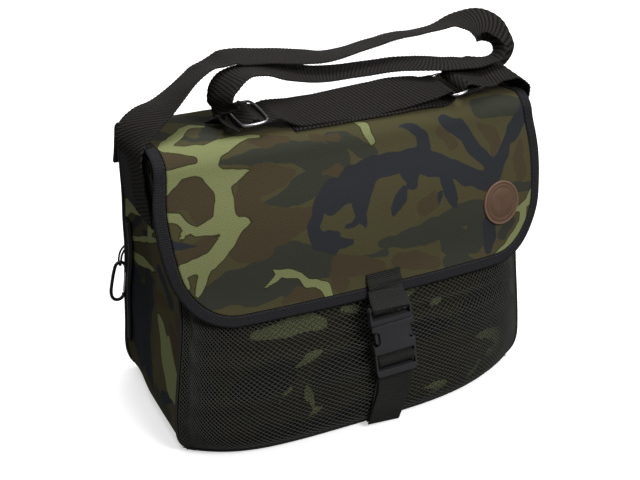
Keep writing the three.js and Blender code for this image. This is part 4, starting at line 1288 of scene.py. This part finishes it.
# %% The leather patch
def leather_look():
    made, tree, shader = look("brown_leather", 0.6, Specular_IOR_Level=0.25)
    place = put(tree, "TexCoord").outputs["Object"]
    cloudy = put(tree, "TexNoise", Vector=place, Scale=120.0, Detail=4.0).outputs["Fac"]
    colour = mixed(tree, cloudy, paint(96, 74, 59), paint(78, 60, 48))
    rim = put(tree, "Attribute", {"attribute_name": "rim"}).outputs["Fac"]
    colour = mixed(tree, ranged(tree, rim, 0.0, 1.0, 0.0, 1.0), colour, paint(118, 92, 73))
    tree.links.new(colour, shader.inputs["Base Color"])
    cells = put(tree, "TexVoronoi", {"feature": "DISTANCE_TO_EDGE"}, Vector=place, Scale=900.0)
    bumped(tree, shader, cells.outputs["Distance"], 0.5, 0.0004)
    return made


die_round = 0.7 * mm
disc_share = 0.97
# From the rim inwards, in millimetres: how far each step goes in and how far it rises or sinks
pressed_steps = [(1.6, 0.0), (0.35, -0.35), (0.5, 0.0), (0.35, 0.35), (3.0, 0.0), (0.3, -0.2), (0.3, 0.2),
                 (8.0, 0.15)]


def leather_disc():
    """A disc of leather with two pressed rings, turned to the badge's place in the frame."""
    seat = merged("leather_badge")
    centre = sum((v.co for v in seat.verts), Vector()) / len(seat.verts)
    lid = max(seat.faces, key=lambda f: f.normal.dot(Vector((0, -1, 0.3))))
    facing = lid.normal.copy()
    half_thickness = max(facing.dot(v.co - centre) for v in seat.verts)
    radius = max((v.co - centre).length for v in seat.verts) * disc_share
    seat.free()
    disc = bmesh.new()
    bmesh.ops.create_cone(disc, cap_ends=True, cap_tris=False, segments=96, radius1=radius, radius2=radius,
                          depth=2 * half_thickness)
    top = next(f for f in disc.faces if f.normal.z > 0.9)
    bmesh.ops.bevel(disc, geom=list(top.edges), offset=die_round, segments=4, profile=0.5, affect="EDGES",
                    material=-1)
    face_of_disc = [f for f in disc.faces if f.normal.z > 0.99 and len(f.verts) > 8]
    for width, height in pressed_steps:
        bmesh.ops.inset_region(disc, faces=face_of_disc, thickness=width * mm, depth=height * mm,
                               use_even_offset=True)
    turn = facing.to_track_quat("Z", "Y").to_matrix().to_4x4()
    bmesh.ops.transform(disc, matrix=Matrix.Translation(centre) @ turn, verts=disc.verts)
    bmesh.ops.recalc_face_normals(disc, faces=disc.faces)
    made = piece("leather_patch", disc, [leather_look()], ["leather_badge"])
    rim_share = [fade((v.co - centre).length, 0.9 * radius, radius) for v in made.data.vertices]
    made.data.attributes.new("rim", "FLOAT", "POINT").data.foreach_set("value", rim_share)


leather_disc()

# %% [markdown]
# ## The zip
# The rear compartment closes with a zip beside the back seam. Its tape is a strip of cloth, and a pair of
# closed teeth looks like one small block, so there is a block for each pair up the middle of the tape.

# %% The zip
zip_rows = sheet_rows("rear_zip", lambda f: f.normal.x < -0.5, lambda place: place.z)
strip("zip_tape", "rear_zip", 6, 90, lambda s, t: on_rows(zip_rows, s, t), (0.02, 0.16), (-1, 0, 0), 1.4 * mm)
teeth_pitch = 1.7 * mm
teeth_size = (1.1 * mm, 3.2 * mm, 0.9 * mm)
teeth_lift = 0.3 * mm
first_tooth = 0.03
last_tooth = 0.97


def zip_teeth():
    """One small bevelled block for each pair of teeth, up the middle of the tape."""
    low, high = on_rows(zip_rows, 0.5, first_tooth), on_rows(zip_rows, 0.5, last_tooth)
    count = int((high - low).length / teeth_pitch)
    size = Matrix.Diagonal((*teeth_size, 1))
    shape = bmesh.new()
    for k in range(count):
        t = first_tooth + (last_tooth - first_tooth) * k / (count - 1)
        spot = on_rows(zip_rows, 0.5, t) + Vector((-teeth_lift, 0, 0))
        bmesh.ops.create_cube(shape, size=1.0, matrix=Matrix.Translation(spot) @ size)
    bevelled(piece("zip_teeth", shape, [black_plastic]), 0.25 * mm, 1, 30)


zip_teeth()

# %% [markdown]
# ## Stitches
# The edges are sewn with dark thread. A stitch is a small rounded grain of thread that lies on the cloth;
# a whole row is one mesh, with one small ball, stretched along the seam, for each stitch.

# %% Stitches
stitch_pitch = 4.0 * mm
stitch_size = (1.35 * mm, 0.32 * mm, 0.3 * mm)
stitch_lift = 0.1 * mm
stitch_in = 0.16
thread = plain_look("sewing_thread", paint(42, 42, 44), 0.7)


def stitch_row(shape, route, facing):
    """Adds stitches along a route of points; facing is the way out of the cloth, or one for each point."""
    done, due = 0.0, 0.5 * stitch_pitch
    for k, (a, b) in enumerate(zip(route, route[1:])):
        length = (b - a).length
        while due <= done + length and length > 0:
            spot = a.lerp(b, (due - done) / length)
            along = (b - a).normalized()
            out = Vector(facing[k] if isinstance(facing, list) else facing).normalized()
            side = out.cross(along).normalized()
            turn = Matrix((along, side, along.cross(side))).transposed().to_4x4()
            place = Matrix.Translation(spot + out * stitch_lift) @ turn @ Matrix.Diagonal((*stitch_size, 1))
            bmesh.ops.create_icosphere(shape, subdivisions=1, radius=1.0, matrix=place)
            due += stitch_pitch
        done += length


def framed(rows, low=0.07, high=0.93, count=24):
    """A route round a sheet a little inside its rim."""
    steps = [low + (high - low) * k / count for k in range(count + 1)]
    around = [(s, low) for s in steps] + [(high, t) for t in steps[1:]]
    around += [(s, high) for s in reversed(steps[:-1])] + [(low, t) for t in reversed(steps[:-1])]
    return [on_rows(rows, s, t) for s, t in around]


flap_middle = Vector((0, -0.13, 0.2))
steps_a_ring = 6


def flap_stitches(shape):
    """Along the inner edge of the binding, on its outer face."""
    route, ways = [], []
    for a, b, c, d in squared(rings_of("flap_binding", 4, lambda place: place.x)):
        out = ((a + b + c + d) / 4 - flap_axis) * Vector((0, 1, 1))
        if ((a + b) - (c + d)).dot(out) < 0:
            a, b, c, d = d, c, b, a
        if (a - flap_middle).length > (b - flap_middle).length:
            a, b = b, a
        route.append(a.lerp(b, stitch_in))
        ways.append(out)
    fine = range(steps_a_ring * (len(route) - 1) + 1)
    stitch_row(shape, [through(route, k / steps_a_ring) for k in fine],
               [ways[k // steps_a_ring] for k in fine])


def shares(count):
    return [k / count for k in range(count + 1)]


low_seam_line = 0.2
high_seam_line = 0.8
stitches = bmesh.new()
flap_stitches(stitches)
for line in (low_seam_line, high_seam_line):
    stitch_row(stitches, [on_rows(hem_rows, s, line) for s in shares(160)], (0, -1, 0))
    stitch_row(stitches, [on_rows(zip_rows, line, t) for t in shares(40)], (-1, 0, 0))
stitch_row(stitches, framed(anchor_rows["left"]), (-1, 0, 0))
stitch_row(stitches, framed(anchor_rows["right"]), (1, 0, 0))
stitch_row(stitches, [low_band_place(s, high_seam_line) for s in shares(160)], (0, -1, 0.2))
piece("stitching", stitches, [thread])

# %% [markdown]
# ## The slack of the back edge
# A filled frame is stiffer than cloth. On the real bag the left back edge stands nearly upright and tucks
# in only near the floor, so the pieces along it are eased sideways by a few millimetres at each height.

# %% Easing the left back edge
height_step = 25 * mm
sideways = (3, 4, 4, 1.5, -2, -5, -6.5, -7, -5, -1, 0, 0, 0)
eases = [Vector((x * mm, 0, 0)) for x in sideways]
for name in ("bag_body", "back_piping_cord", "back_piping_flange", "zip_tape", "zip_teeth", "stitching"):
    moved = 0
    for vert in bpy.data.objects[name].data.vertices:
        share = fade(vert.co.y, 0.0, 60 * mm) * fade(-vert.co.x, 120 * mm, 190 * mm)
        if share > 0:
            vert.co += through(eases, vert.co.z / height_step) * share
            moved += 1
    print(name, "corners eased:", moved)
